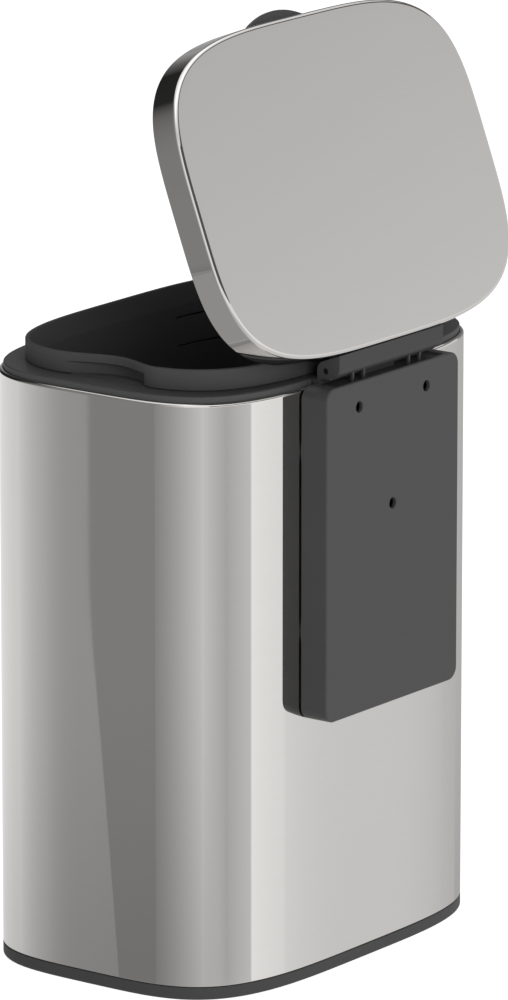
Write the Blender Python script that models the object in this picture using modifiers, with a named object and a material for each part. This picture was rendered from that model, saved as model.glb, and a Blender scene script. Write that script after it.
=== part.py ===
"""Wall-mounted trash can: a steel body that hangs on a hooked wall bracket.

The body holds a lift-out bucket under a hinged lid.  Everything is modelled in the
body's own frame (x across, y to the wall, z up from the underside of the foot) and
hung from one empty, which moves it so that the world origin is the centre of the
bracket's face on the wall.  The lid is drawn closed and opened by its own empty,
which sits on the hinge axis.  Units are metres.
"""

import math
from dataclasses import dataclass

import bmesh
import bpy
from mathutils import Matrix, Vector

# Fits and cuts
TOUCH_GAP = 0.0003
CUT_OVERRUN = 0.004
MERGE_DISTANCE = 0.000001

# Body
BODY_WIDTH = 0.2403
BODY_DEPTH = 0.1655
BODY_HEIGHT = 0.300
OUTLINE_POWER = 3.8
OUTLINE_STEPS = 96
SHEET_WALL = 0.0006

# Base cap
FOOT_HEIGHT = 0.0065
FOOT_WIDTH = 0.008
FOOT_EDGE = 0.0006
BASE_RECESS = 0.003
BASE_FLOOR = 0.0025
BASE_SPIGOT_HEIGHT = 0.012
BASE_SPIGOT_WALL = 0.002

# Top collar
COLLAR_SKIRT_HEIGHT = 0.022
COLLAR_WALL = 0.002
COLLAR_RISE = 0.0032
COLLAR_RISER_INSET = 0.0021
COLLAR_GROOVE_DEPTH = 0.0011
COLLAR_EDGE = 0.0005
FLANGE_THICKNESS = 0.002

# Bucket
RIM_SIDE_SETBACK = 0.0129
RIM_END_SETBACK = 0.0088
RIM_POWER = 3.7
RIM_HEIGHT = 0.0108
RIM_WALL = 0.0020
BUCKET_WALL = 0.0016
BUCKET_STEP = 0.003
BUCKET_TAPER = 0.008
BUCKET_FLOOR_GAP = 0.008
COLLAR_TO_BUCKET = 0.0008

# Finger recesses in the bucket's rim
SCOOP_FRONT = 0.0385
SCOOP_REAR = 0.0335
SCOOP_SKEW = 1.285
SCOOP_DEPTH = 0.008
HOLLOW_DEPTH = 0.004
HOLLOW_FRONT = 0.027
HOLLOW_RAMP = 0.022
HOLLOW_REAR = 0.0245
HOLLOW_END = 0.0016
LIP_HEIGHT = 0.0045
LEDGE_BLEND = 0.006

# Slits in the bucket's front wall
SLIT_HEIGHT = 0.0009
SLIT_INNER_END = 0.0433
SLIT_OUTER_END = 0.0735
SLIT_REACH = 0.036
SLIT_DROPS = (0.0058, 0.0203)

# Hinge axis and lid
HINGE_SETBACK = 0.00535
HINGE_RISE = 0.008
LID_OPEN_DEGREES = 69.5
LID_TOP_RISE = 0.0127
LID_INSET = 0.0002
LID_SKIRT = 0.015
LID_EDGE_RADIUS = 0.0020
LID_EDGE_STEPS = 4
LINER_PROTRUSION = 0.0006
LINER_WALL = 0.0015
LINER_CHAMFER = 0.0012
KNUCKLE_RADIUS = 0.0030
KNUCKLE_HALF_LENGTH = 0.034
LEAF_THICKNESS = 0.0022
LEAF_RISE = 0.0002
LEAF_SHORT_OF_AXIS = 0.0005
LEAF_CLEARANCE = 0.0006
TAB_RADIUS = 0.054
TAB_REACH = 0.0055
TAB_THICKNESS = 0.0018
TAB_ROOT = 0.002
TAB_STEPS = 28

# Hinge housing, pin and friction cartridges
HOUSING_HALF_LENGTH = 0.0434
HOUSING_END_WALL = 0.0024
HOUSING_END_GAP = 0.0010
HOUSING_BACK_RADIUS = 0.0045
HOUSING_BACK_GAP = 0.0010
HOUSING_FLOOR_RISE = 0.0038
HOUSING_KEEL_REACH = 0.0030
HOUSING_HOOD_RISE = 0.0052
HOUSING_PLATE_LENGTH = 0.0082
HOUSING_NECK_LENGTH = 0.0018
HOUSING_BRIDGE_LENGTH = 0.0055
HOUSING_BRIDGE_HALF_WIDTH = 0.0135
BORE_CLEARANCE = 0.00035
LID_SWEEP_CLEARANCE = 0.00035
PIN_RADIUS = 0.0014
PIN_CLEARANCE = 0.0002
PIN_RECESS = 0.0005

# Seat of the housing in the collar
SEAT_RISE = 0.0003
SEAT_THICKNESS = 0.0021
SEAT_SIDE = 0.0025
SEAT_FRONT = 0.0023

# Screws that hold the housing to the collar
SCREW_SPACING = 0.060
SCREW_INSET = 0.0057
SCREW_RADIUS = 0.0011
SCREW_HOLE_RADIUS = 0.0013
SCREW_HEAD_RADIUS = 0.0022
SCREW_HEAD_HEIGHT = 0.0018
SCREW_END_COVER = 0.0005
SCREW_END_GAP = 0.0004

# Wall bracket
BRACKET_WIDTH = 0.1104
BRACKET_HEIGHT = 0.1676
BRACKET_RISE = 0.0016
BRACKET_CORNER_RADIUS = 0.0065
BRACKET_WALL = 0.0025
BRACKET_BACK = 0.002
BRACKET_EDGE = 0.0008
WALL_STANDOFF = 0.0148
BRACKET_SHELL_GAP = 0.0008
PAD_HEIGHT = 0.0069
PAD_DROPS = (0.0308, 0.1207)
BRACKET_NOTCH_DEPTH = 0.0013
BRACKET_NOTCH_GAP = 0.0008
WALL_HOLE_RADIUS = 0.00275
UPPER_HOLE_SPACING = 0.0562
UPPER_HOLE_DROP = 0.0129
LOWER_HOLE_DROP = 0.0666

# Hooks on the bracket
HOOK_SPACING = 0.0468
HOOK_WIDTH = 0.0105
HOOK_RIB = 0.0014
HOOK_DEPTH = 0.0015
HOOK_WEB = 0.0008
HOOK_HEIGHT = 0.0091
HOOK_BAR = 0.0045
HOOK_TO_BACK = 0.00385
POCKET_CLEARANCE = 0.00025

# Places worked out from the sizes above
BODY_REAR = BODY_DEPTH / 2
FLANGE_TOP = BODY_HEIGHT + COLLAR_RISE
WALL_Y = BODY_REAR + WALL_STANDOFF
BRACKET_TOP = BODY_HEIGHT + BRACKET_RISE
BRACKET_MIDDLE = BRACKET_TOP - BRACKET_HEIGHT / 2
HINGE_Y = BODY_REAR + HINGE_SETBACK
HINGE_Z = BODY_HEIGHT + HINGE_RISE
HINGE_POINT = Vector((0, HINGE_Y, HINGE_Z))
LID_TOP = HINGE_Z + LID_TOP_RISE
SKIRT_BOTTOM = LID_TOP - LID_SKIRT
RIM_BOTTOM = FLANGE_TOP + TOUCH_GAP
RIM_TOP = FLANGE_TOP + RIM_HEIGHT
HOUSING_BACK = WALL_Y - HOUSING_BACK_GAP
HOUSING_FLOOR = BODY_HEIGHT + HOUSING_FLOOR_RISE
HOOD_FLOOR = BODY_HEIGHT + HOUSING_HOOD_RISE
BORE_RADIUS = KNUCKLE_RADIUS + BORE_CLEARANCE
HOLE_RADIUS = PIN_RADIUS + PIN_CLEARANCE
PLATE_FRONT = BODY_REAR - HOUSING_PLATE_LENGTH
PLATE_BOTTOM = BODY_HEIGHT + SEAT_RISE + TOUCH_GAP
HOOK_REAR = WALL_Y - HOOK_TO_BACK
HOOK_TOP = BRACKET_TOP + HOOK_HEIGHT

# Finishes: base colour, roughness, metallic
POLISHED_STEEL = ("polished_steel", (0.655, 0.640, 0.622, 1.0), 0.12, 1.0)
CHARCOAL_PLASTIC = ("charcoal_plastic", (0.060, 0.060, 0.061, 1.0), 0.50, 0.0)
MATTE_PLASTIC = ("matte_charcoal_plastic", (0.074, 0.074, 0.075, 1.0), 0.70, 0.0)
BLACK_PLASTIC = ("black_plastic", (0.024, 0.024, 0.025, 1.0), 0.50, 0.0)
BLACKENED_STEEL = ("blackened_steel", (0.045, 0.045, 0.047, 1.0), 0.45, 1.0)
SCREW_STEEL = ("screw_steel", (0.50, 0.50, 0.51, 1.0), 0.30, 1.0)

ROUND_STEPS = 32
SMOOTH_ANGLE = math.radians(35)


@dataclass(frozen=True)
class Outline:
    """A rounded plan shape: a superellipse about the body's middle."""

    half_width: float
    half_depth: float
    power: float

    def spot(self, step):
        """Return a point of the outline and the unit normal that points out of it."""
        angle = math.tau * step / OUTLINE_STEPS
        cos_a = math.cos(angle)
        sin_a = math.sin(angle)
        across = abs(cos_a / self.half_width) ** self.power
        along = abs(sin_a / self.half_depth) ** self.power
        radius = (across + along) ** (-1 / self.power)
        x = radius * cos_a
        y = radius * sin_a
        slope_x = math.copysign(abs(x / self.half_width) ** (self.power - 1), x)
        slope_y = math.copysign(abs(y / self.half_depth) ** (self.power - 1), y)
        normal = Vector((slope_x / self.half_width, slope_y / self.half_depth, 0))
        return Vector((x, y, 0)), normal.normalized()

    def ring(self, inset, z):
        """Return the outline's points, moved in by inset, at height z."""
        points = []
        for step in range(OUTLINE_STEPS):
            point, normal = self.spot(step)
            points.append(point - normal * inset + Vector((0, 0, z)))
        return points


BODY = Outline(BODY_WIDTH / 2, BODY_REAR, OUTLINE_POWER)
RIM = Outline(
    BODY_WIDTH / 2 - RIM_SIDE_SETBACK,
    BODY_REAR - RIM_END_SETBACK,
    RIM_POWER,
)


def clear_scene():
    """Remove every object, so that the script starts from nothing."""
    for item in list(bpy.data.objects):
        bpy.data.objects.remove(item, do_unlink=True)


def make_collection(name):
    """Return a new collection that the scene shows."""
    group = bpy.data.collections.new(name)
    bpy.context.scene.collection.children.link(group)
    return group


def make_material(piece, finish):
    """Return a material of the piece's own with the finish's colour and shine."""
    name, colour, roughness, metallic = finish
    material = bpy.data.materials.new(f"{piece}_{name}")
    material.use_nodes = True
    shader = material.node_tree.nodes["Principled BSDF"]
    shader.inputs["Base Color"].default_value = colour
    shader.inputs["Roughness"].default_value = roughness
    shader.inputs["Metallic"].default_value = metallic
    return material


class Workshop:
    """Makes the pieces and the shapes that cut or join them."""

    def __init__(self):
        self.pieces = make_collection("wall_mounted_trash_can")
        self.cutters = make_collection("cutters")
        self.body_frame = self.empty("body_frame", None, Vector((0, -WALL_Y, -BRACKET_MIDDLE)))
        self.lid_frame = self.empty("lid_frame", self.body_frame, HINGE_POINT)
        self.lid_frame.rotation_euler = (-math.radians(LID_OPEN_DEGREES), 0, 0)

    def empty(self, name, parent, location):
        """Return an empty that carries other objects."""
        item = bpy.data.objects.new(name, None)
        item.location = location
        item.parent = parent
        self.pieces.objects.link(item)
        return item

    def hang(self, item, on_lid):
        """Parent an object, given in body coordinates, to the body or the lid."""
        item.parent = self.lid_frame if on_lid else self.body_frame
        if on_lid:
            item.location = item.location - HINGE_POINT

    def piece(self, item, finish, on_lid=False):
        """File an object as a visible piece with a material of its own."""
        self.pieces.objects.link(item)
        item.data.materials.append(make_material(item.name, finish))
        item.data.shade_smooth()
        item.data.set_sharp_from_angle(angle=SMOOTH_ANGLE)
        self.hang(item, on_lid)
        return item

    def tool(self, item, on_lid=False):
        """File an object as a shape that only cuts or joins another."""
        self.cutters.objects.link(item)
        item.hide_render = True
        item.display_type = "WIRE"
        self.hang(item, on_lid)
        return item

    def combine(self, item, other, operation, on_lid=False):
        """Add a boolean of the other shape to an object."""
        modifier = item.modifiers.new(f"{operation.lower()}_{other.name}", "BOOLEAN")
        modifier.operation = operation
        modifier.object = self.tool(other, on_lid)

    def cut(self, item, other, on_lid=False):
        """Cut the other shape out of an object."""
        self.combine(item, other, "DIFFERENCE", on_lid)

    def join(self, item, other, on_lid=False):
        """Join the other shape to an object."""
        self.combine(item, other, "UNION", on_lid)


def mesh_object(name, work):
    """Turn a bmesh into an object whose faces point out."""
    bmesh.ops.remove_doubles(work, verts=work.verts, dist=MERGE_DISTANCE)
    bmesh.ops.recalc_face_normals(work, faces=work.faces)
    data = bpy.data.meshes.new(name)
    work.to_mesh(data)
    work.free()
    return bpy.data.objects.new(name, data)


def loft(name, rings, ends="capped"):
    """Skin a list of rings; the ends are capped, left open or joined in a loop."""
    work = bmesh.new()
    rows = [[work.verts.new(point) for point in ring] for ring in rings]
    pairs = list(zip(rows, rows[1:]))
    if ends == "loop":
        pairs.append((rows[-1], rows[0]))
    for low, high in pairs:
        for index in range(len(low)):
            after = (index + 1) % len(low)
            work.faces.new((low[index], low[after], high[after], high[index]))
    if ends in ("capped", "top"):
        work.faces.new(rows[-1])
    if ends == "capped":
        work.faces.new(reversed(rows[0]))
    return mesh_object(name, work)


def sheet(item, thickness):
    """Give an open surface its wall, on the inner side."""
    solid = item.modifiers.new("wall", "SOLIDIFY")
    solid.thickness = thickness
    solid.offset = -1
    solid.use_even_offset = True


def box(name, low, high):
    """Return a box between two corners."""
    work = bmesh.new()
    bmesh.ops.create_cube(work, size=1)
    size = Vector(high) - Vector(low)
    middle = (Vector(high) + Vector(low)) / 2
    bmesh.ops.transform(work, matrix=Matrix.Diagonal(size.to_4d()), verts=work.verts)
    item = mesh_object(name, work)
    item.location = middle
    return item


def cylinder(name, radius, length, middle, along="X"):
    """Return a cylinder about its middle, along X, Y or Z."""
    work = bmesh.new()
    bmesh.ops.create_cone(
        work, cap_ends=True, segments=ROUND_STEPS, radius1=radius, radius2=radius, depth=length
    )
    item = mesh_object(name, work)
    item.location = middle
    turns = {"X": (0, math.pi / 2, 0), "Y": (math.pi / 2, 0, 0), "Z": (0, 0, 0)}
    item.rotation_euler = turns[along]
    return item


def plate(name, points, thickness, middle, along):
    """Extrude a flat outline by half its thickness each way, square to X, Y or Z.

    The outline's own axes are (y, z) for X, (x, z) for Y and (x, y) for Z.
    """
    curve = bpy.data.curves.new(name, "CURVE")
    curve.dimensions = "2D"
    curve.fill_mode = "BOTH"
    curve.extrude = thickness / 2
    spline = curve.splines.new("POLY")
    spline.points.add(len(points) - 1)
    for target, (u, v) in zip(spline.points, points):
        target.co = (u, v, 0, 1)
    spline.use_cyclic_u = True
    drawn = bpy.data.objects.new(f"{name}_outline", curve)
    bpy.context.scene.collection.objects.link(drawn)
    bpy.context.view_layer.update()
    data = bpy.data.meshes.new_from_object(drawn.evaluated_get(bpy.context.evaluated_depsgraph_get()))
    bpy.data.objects.remove(drawn, do_unlink=True)
    work = bmesh.new()
    work.from_mesh(data)
    bpy.data.meshes.remove(data)
    item = mesh_object(name, work)
    item.location = middle
    turns = {
        "X": (math.pi / 2, 0, math.pi / 2),
        "Y": (math.pi / 2, 0, 0),
        "Z": (0, 0, 0),
    }
    item.rotation_euler = turns[along]
    return item


def arc(centre, radius, start, end, steps):
    """Return points on an arc, angles in degrees, both ends included."""
    points = []
    for step in range(steps + 1):
        angle = math.radians(start + (end - start) * step / steps)
        points.append((centre[0] + radius * math.cos(angle), centre[1] + radius * math.sin(angle)))
    return points


def rounded_rectangle(half_width, half_height, radius, steps):
    """Return the outline of a rectangle with round corners, about (0, 0)."""
    points = []
    for across, up, start in ((1, -1, -90), (1, 1, 0), (-1, 1, 90), (-1, -1, 180)):
        centre = (across * (half_width - radius), up * (half_height - radius))
        points += arc(centre, radius, start, start + 90, steps)
    return points


def smooth_step(value):
    """Ease from 0 to 1 as the value goes from 0 to 1."""
    value = min(max(value, 0), 1)
    return value * value * (3 - 2 * value)


def scoop_share(y):
    """Return how far in the rim's edge is at y, as a share of the scoop's depth."""
    travel = (y + SCOOP_FRONT) / (SCOOP_FRONT + SCOOP_REAR)
    if not 0 < travel < 1:
        return 0
    return math.sin(math.pi * travel**SCOOP_SKEW) ** 2


def hollow_share(y):
    """Return how deep the finger hollow is at y: a soft ramp in front, a steep end behind."""
    rise = smooth_step((y + HOLLOW_FRONT) / HOLLOW_RAMP)
    fall = smooth_step((HOLLOW_REAR - y) / HOLLOW_END)
    return rise * fall


def rim_ring(inset, z, scoop=0, hollow=0, drop=0):
    """Return a ring of the bucket, pushed in at the finger recesses.

    The scoop and the hollow are depths at their deepest; the drop lowers the ring
    where the recess is deeper than the step that the bucket hangs by.
    """
    points = []
    for step in range(OUTLINE_STEPS):
        point, normal = RIM.spot(step)
        dent = scoop * scoop_share(point.y) + hollow * hollow_share(point.y)
        blend = smooth_step(dent / LEDGE_BLEND)
        points.append(point - normal * (inset + dent) + Vector((0, 0, z - drop * blend)))
    return points


def make_shell(shop):
    """The steel sleeve that stands on the foot."""
    rings = [BODY.ring(0, z) for z in (FOOT_HEIGHT + TOUCH_GAP, BODY_HEIGHT)]
    shell = loft("outer_shell", rings, "open")
    sheet(shell, SHEET_WALL)
    shop.piece(shell, POLISHED_STEEL)


def make_base(shop):
    """The base cap: a foot ring outside, a spigot inside the sleeve and a floor."""
    spigot = SHEET_WALL + TOUCH_GAP
    inner = spigot + BASE_SPIGOT_WALL
    spigot_top = FOOT_HEIGHT + BASE_SPIGOT_HEIGHT
    base = loft("base_cap", [
        BODY.ring(FOOT_WIDTH, BASE_RECESS),
        BODY.ring(FOOT_WIDTH, 0),
        BODY.ring(FOOT_EDGE, 0),
        BODY.ring(0, FOOT_EDGE),
        BODY.ring(0, FOOT_HEIGHT),
        BODY.ring(spigot, FOOT_HEIGHT),
        BODY.ring(spigot, spigot_top),
        BODY.ring(inner, spigot_top),
        BODY.ring(inner, BASE_RECESS + BASE_FLOOR),
    ])
    shop.piece(base, CHARCOAL_PLASTIC)


def make_collar(shop):
    """The collar in the sleeve's mouth: it rises above the steel to a flat flange.

    The flange carries the bucket.  At the back it is sunk to seat the hinge housing.
    """
    outer = SHEET_WALL + TOUCH_GAP
    inner = outer + COLLAR_WALL
    opening = BUCKET_STEP - COLLAR_TO_BUCKET
    bottom = BODY_HEIGHT - COLLAR_SKIRT_HEIGHT
    groove = BODY_HEIGHT - COLLAR_GROOVE_DEPTH
    underside = FLANGE_TOP - FLANGE_THICKNESS
    collar = loft("top_collar", [
        BODY.ring(outer, bottom),
        BODY.ring(outer, groove - COLLAR_EDGE),
        BODY.ring(outer + COLLAR_EDGE, groove),
        BODY.ring(COLLAR_RISER_INSET, groove),
        BODY.ring(COLLAR_RISER_INSET, FLANGE_TOP - COLLAR_EDGE),
        BODY.ring(COLLAR_RISER_INSET + COLLAR_EDGE, FLANGE_TOP),
        RIM.ring(opening, FLANGE_TOP),
        RIM.ring(opening, underside),
        BODY.ring(inner, underside),
        BODY.ring(inner, bottom),
    ], "loop")
    seat_top = BODY_HEIGHT + SEAT_RISE
    seat_rear = BODY_REAR - (COLLAR_RISER_INSET + inner) / 2
    half = HOUSING_HALF_LENGTH + HOUSING_END_GAP
    seat = box(
        "collar_seat",
        (-half - SEAT_SIDE, PLATE_FRONT - SEAT_FRONT, seat_top - SEAT_THICKNESS),
        (half + SEAT_SIDE, seat_rear, FLANGE_TOP - FLANGE_THICKNESS / 2),
    )
    shop.join(collar, seat)
    recess = box(
        "collar_recess",
        (-half, PLATE_FRONT - TOUCH_GAP, seat_top),
        (half, BODY_REAR + CUT_OVERRUN, FLANGE_TOP + CUT_OVERRUN),
    )
    shop.cut(collar, recess)
    for side in (-1, 1):
        depth = SEAT_THICKNESS + CUT_OVERRUN
        hole = cylinder(
            f"collar_hole_{side}", SCREW_HOLE_RADIUS, depth, screw_spot(side, seat_top), "Z"
        )
        shop.cut(collar, hole)
    shop.piece(collar, CHARCOAL_PLASTIC)


def rim_inner_inset(z):
    """Return how far in the rim's inner face is: it leans in to the bucket's wall."""
    share = (RIM_TOP - z) / (RIM_TOP - RIM_BOTTOM)
    return RIM_WALL + (BUCKET_STEP + BUCKET_WALL - RIM_WALL) * share


def make_bucket(shop):
    """The lift-out bucket: tapered walls, a raised rim and a finger recess each side."""
    foot_inset = BUCKET_STEP + BUCKET_TAPER
    bottom = BASE_RECESS + BASE_FLOOR + BUCKET_FLOOR_GAP
    lip_bottom = RIM_TOP - LIP_HEIGHT
    lip_inside = lip_bottom + BUCKET_WALL
    deep = (SCOOP_DEPTH, HOLLOW_DEPTH)
    ledge = 2 * BUCKET_WALL
    bucket = loft("inner_bucket", [
        RIM.ring(foot_inset, bottom),
        RIM.ring(BUCKET_STEP, FLANGE_TOP),
        rim_ring(0, RIM_BOTTOM, *deep),
        rim_ring(0, lip_bottom, *deep),
        rim_ring(0, lip_bottom, SCOOP_DEPTH),
        rim_ring(0, RIM_TOP, SCOOP_DEPTH),
        rim_ring(RIM_WALL, RIM_TOP, SCOOP_DEPTH),
        rim_ring(rim_inner_inset(lip_inside), lip_inside, *deep),
        rim_ring(rim_inner_inset(RIM_BOTTOM), RIM_BOTTOM, *deep, ledge),
        lowered(RIM.ring(BUCKET_STEP + BUCKET_WALL, RIM_BOTTOM - TOUCH_GAP), ledge),
        RIM.ring(foot_inset + BUCKET_WALL, bottom + BUCKET_WALL),
    ])
    front = -BODY_REAR
    for row, drop in enumerate(SLIT_DROPS):
        middle = RIM_BOTTOM - drop
        slit = box(
            f"bucket_slit_{row}",
            (-SLIT_OUTER_END, front, middle - SLIT_HEIGHT / 2),
            (-SLIT_INNER_END, front + SLIT_REACH, middle + SLIT_HEIGHT / 2),
        )
        shop.cut(bucket, slit)
    shop.piece(bucket, MATTE_PLASTIC)


def lowered(ring, drop):
    """Lower a ring of the bucket's shoulder where the finger recess stands over it."""
    points = []
    for step, point in enumerate(ring):
        rim_point, _ = RIM.spot(step)
        dent = SCOOP_DEPTH * scoop_share(rim_point.y) + HOLLOW_DEPTH * hollow_share(rim_point.y)
        points.append(point - Vector((0, 0, drop * smooth_step(dent / LEDGE_BLEND))))
    return points


def screw_spot(side, z):
    """Return where a housing screw stands."""
    return Vector((side * SCREW_SPACING / 2, BODY_REAR - SCREW_INSET, z))


def housing_section():
    """Return the housing's full section in (y, z), as its solid ends show it.

    A keel runs under the lid's knuckle; behind it the hood stands higher over the hooks.
    """
    axis = (HINGE_Y, HINGE_Z)
    sweep = HINGE_SETBACK + LID_INSET - LID_SWEEP_CLEARANCE
    front = HINGE_Y - sweep
    neck_rear = BODY_REAR + HOUSING_NECK_LENGTH
    keel_rear = HINGE_Y + HOUSING_KEEL_REACH
    round_centre = (HOUSING_BACK - HOUSING_BACK_RADIUS, HOOD_FLOOR + HOUSING_BACK_RADIUS)
    tilt = math.radians(LID_OPEN_DEGREES)
    touch_y = HINGE_Y - sweep * math.cos(tilt)
    touch_z = HINGE_Z + sweep * math.sin(tilt)
    back_top = touch_z + (HOUSING_BACK - touch_y) / math.tan(tilt)
    points = [
        (PLATE_FRONT, PLATE_BOTTOM),
        (neck_rear, PLATE_BOTTOM),
        (neck_rear, HOUSING_FLOOR),
        (keel_rear, HOUSING_FLOOR),
        (keel_rear, HOOD_FLOOR),
    ]
    points += arc(round_centre, HOUSING_BACK_RADIUS, -90, 0, ROUND_STEPS // 4)
    points += [(HOUSING_BACK, back_top)]
    points += arc(axis, sweep, 180 - LID_OPEN_DEGREES, 180, ROUND_STEPS // 4)
    points += [(front, FLANGE_TOP), (PLATE_FRONT, FLANGE_TOP)]
    return points


def trough_section():
    """Return the section of the trough that the lid's knuckle turns in."""
    above = LID_TOP + CUT_OVERRUN
    before = PLATE_FRONT - CUT_OVERRUN
    points = [(before, HINGE_Z - BORE_RADIUS)]
    points += arc((HINGE_Y, HINGE_Z), BORE_RADIUS, -90, 0, ROUND_STEPS // 4)
    points += [(HINGE_Y + BORE_RADIUS, above), (before, above)]
    return points


def make_housing(shop):
    """The hinge housing, screwed to the collar, that hangs over the bracket's hooks."""
    length = 2 * HOUSING_HALF_LENGTH
    housing = plate("hinge_housing", housing_section(), length, Vector((0, 0, 0)), "X")
    bridge = box(
        "housing_bridge",
        (-HOUSING_BRIDGE_HALF_WIDTH, BODY_REAR, PLATE_BOTTOM),
        (
            HOUSING_BRIDGE_HALF_WIDTH,
            BODY_REAR + HOUSING_BRIDGE_LENGTH,
            (HOUSING_FLOOR + HINGE_Z - BORE_RADIUS) / 2,
        ),
    )
    shop.join(housing, bridge)
    inside = length - 2 * HOUSING_END_WALL
    shop.cut(housing, plate("housing_trough", trough_section(), inside, Vector((0, 0, 0)), "X"))
    for side in (-1, 1):
        middle = side * HOOK_SPACING / 2
        half = HOOK_WIDTH / 2 + POCKET_CLEARANCE
        pocket = box(
            f"housing_pocket_{side}",
            (middle - half, HOOK_REAR - HOOK_DEPTH - POCKET_CLEARANCE, BODY_HEIGHT),
            (middle + half, HOOK_REAR + POCKET_CLEARANCE, HOOK_TOP + TOUCH_GAP),
        )
        shop.cut(housing, pocket)
        top = FLANGE_TOP - SCREW_END_COVER
        depth = top - PLATE_BOTTOM + CUT_OVERRUN
        hole = cylinder(
            f"housing_screw_hole_{side}", SCREW_HOLE_RADIUS, depth,
            screw_spot(side, top - depth / 2), "Z",
        )
        shop.cut(housing, hole)
    bore = cylinder("housing_pin_hole", HOLE_RADIUS, length + CUT_OVERRUN, HINGE_POINT)
    shop.cut(housing, bore)
    shop.piece(housing, CHARCOAL_PLASTIC)


def make_hinge_parts(shop):
    """The pin, and the two friction cartridges on it that hold the lid where it is left."""
    pin_length = 2 * (HOUSING_HALF_LENGTH - PIN_RECESS)
    shop.piece(cylinder("hinge_pin", PIN_RADIUS, pin_length, HINGE_POINT), BLACKENED_STEEL)
    inner_end = KNUCKLE_HALF_LENGTH + TOUCH_GAP
    outer_end = HOUSING_HALF_LENGTH - HOUSING_END_WALL - TOUCH_GAP
    for side, name in ((-1, "friction_cartridge_left"), (1, "friction_cartridge_right")):
        middle = HINGE_POINT + Vector((side * (inner_end + outer_end) / 2, 0, 0))
        length = outer_end - inner_end
        cartridge = cylinder(name, KNUCKLE_RADIUS, length, middle)
        shop.cut(cartridge, cylinder(f"{name}_bore", HOLE_RADIUS, length + CUT_OVERRUN, middle))
        shop.piece(cartridge, BLACK_PLASTIC)


def make_screws(shop):
    """The two screws that come up through the collar into the housing."""
    head_top = BODY_HEIGHT + SEAT_RISE - SEAT_THICKNESS - TOUCH_GAP
    tip = FLANGE_TOP - SCREW_END_COVER - SCREW_END_GAP
    length = tip - head_top + SCREW_HEAD_HEIGHT
    for side, name in ((-1, "housing_screw_left"), (1, "housing_screw_right")):
        shank = cylinder(name, SCREW_RADIUS, length, screw_spot(side, tip - length / 2), "Z")
        head = cylinder(
            f"{name}_head", SCREW_HEAD_RADIUS, SCREW_HEAD_HEIGHT,
            screw_spot(side, head_top - SCREW_HEAD_HEIGHT / 2), "Z",
        )
        shop.join(shank, head)
        shop.piece(shank, SCREW_STEEL)


def make_lid_skin(shop):
    """The lid's steel skin: a flat panel with a round edge and a skirt."""
    edge_bottom = LID_TOP - LID_EDGE_RADIUS
    rings = [BODY.ring(LID_INSET, SKIRT_BOTTOM)]
    for step in range(LID_EDGE_STEPS + 1):
        angle = math.radians(90 * step / LID_EDGE_STEPS)
        inset = LID_INSET + LID_EDGE_RADIUS * (1 - math.cos(angle))
        rings.append(BODY.ring(inset, edge_bottom + LID_EDGE_RADIUS * math.sin(angle)))
    skin = loft("lid_skin", rings, "top")
    sheet(skin, SHEET_WALL)
    half = KNUCKLE_HALF_LENGTH + LEAF_CLEARANCE
    leaf_top = HINGE_Z - KNUCKLE_RADIUS + LEAF_RISE + LEAF_THICKNESS
    notch = box(
        "lid_notch",
        (-half, BODY_REAR - CUT_OVERRUN, SKIRT_BOTTOM - CUT_OVERRUN),
        (half, HINGE_Y, leaf_top + LEAF_CLEARANCE),
    )
    shop.cut(skin, notch, on_lid=True)
    shop.piece(skin, POLISHED_STEEL, on_lid=True)


def make_lid_liner(shop):
    """The lid's inner moulding, with the hinge leaf, the knuckle and the thumb tab."""
    inset = LID_INSET + SHEET_WALL + TOUCH_GAP
    top = LID_TOP - SHEET_WALL - TOUCH_GAP
    bottom = SKIRT_BOTTOM - LINER_PROTRUSION
    liner = loft("lid_liner", [
        BODY.ring(inset, bottom),
        BODY.ring(inset, top - LINER_CHAMFER),
        BODY.ring(inset + LINER_CHAMFER, top),
    ], "top")
    sheet(liner, LINER_WALL)
    leaf_bottom = HINGE_Z - KNUCKLE_RADIUS + LEAF_RISE
    leaf_front = BODY_REAR - inset - LINER_WALL / 2
    leaf = box(
        "liner_leaf",
        (-KNUCKLE_HALF_LENGTH, leaf_front, leaf_bottom),
        (KNUCKLE_HALF_LENGTH, HINGE_Y - LEAF_SHORT_OF_AXIS, leaf_bottom + LEAF_THICKNESS),
    )
    shop.join(liner, leaf, on_lid=True)
    length = 2 * KNUCKLE_HALF_LENGTH
    shop.join(liner, cylinder("liner_knuckle", KNUCKLE_RADIUS, length, HINGE_POINT), on_lid=True)
    bore = cylinder("liner_bore", HOLE_RADIUS, length + CUT_OVERRUN, HINGE_POINT)
    shop.cut(liner, bore, on_lid=True)
    centre_y = TAB_RADIUS - BODY_REAR - TAB_REACH + LID_INSET
    root_y = inset + TAB_ROOT - BODY_REAR
    spread = math.degrees(math.acos((centre_y - root_y) / TAB_RADIUS))
    outline = arc((0, centre_y), TAB_RADIUS, -90 - spread, -90 + spread, TAB_STEPS)
    tab_top = SKIRT_BOTTOM - TOUCH_GAP
    tab = plate("liner_tab", outline, TAB_THICKNESS, Vector((0, 0, tab_top - TAB_THICKNESS / 2)), "Z")
    shop.join(liner, tab, on_lid=True)
    shop.piece(liner, BLACK_PLASTIC, on_lid=True)


def body_relief(name, gap, low, high):
    """Return the body's plan shape, grown by a gap, between two heights."""
    return loft(name, [BODY.ring(-gap, low), BODY.ring(-gap, high)])


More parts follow.
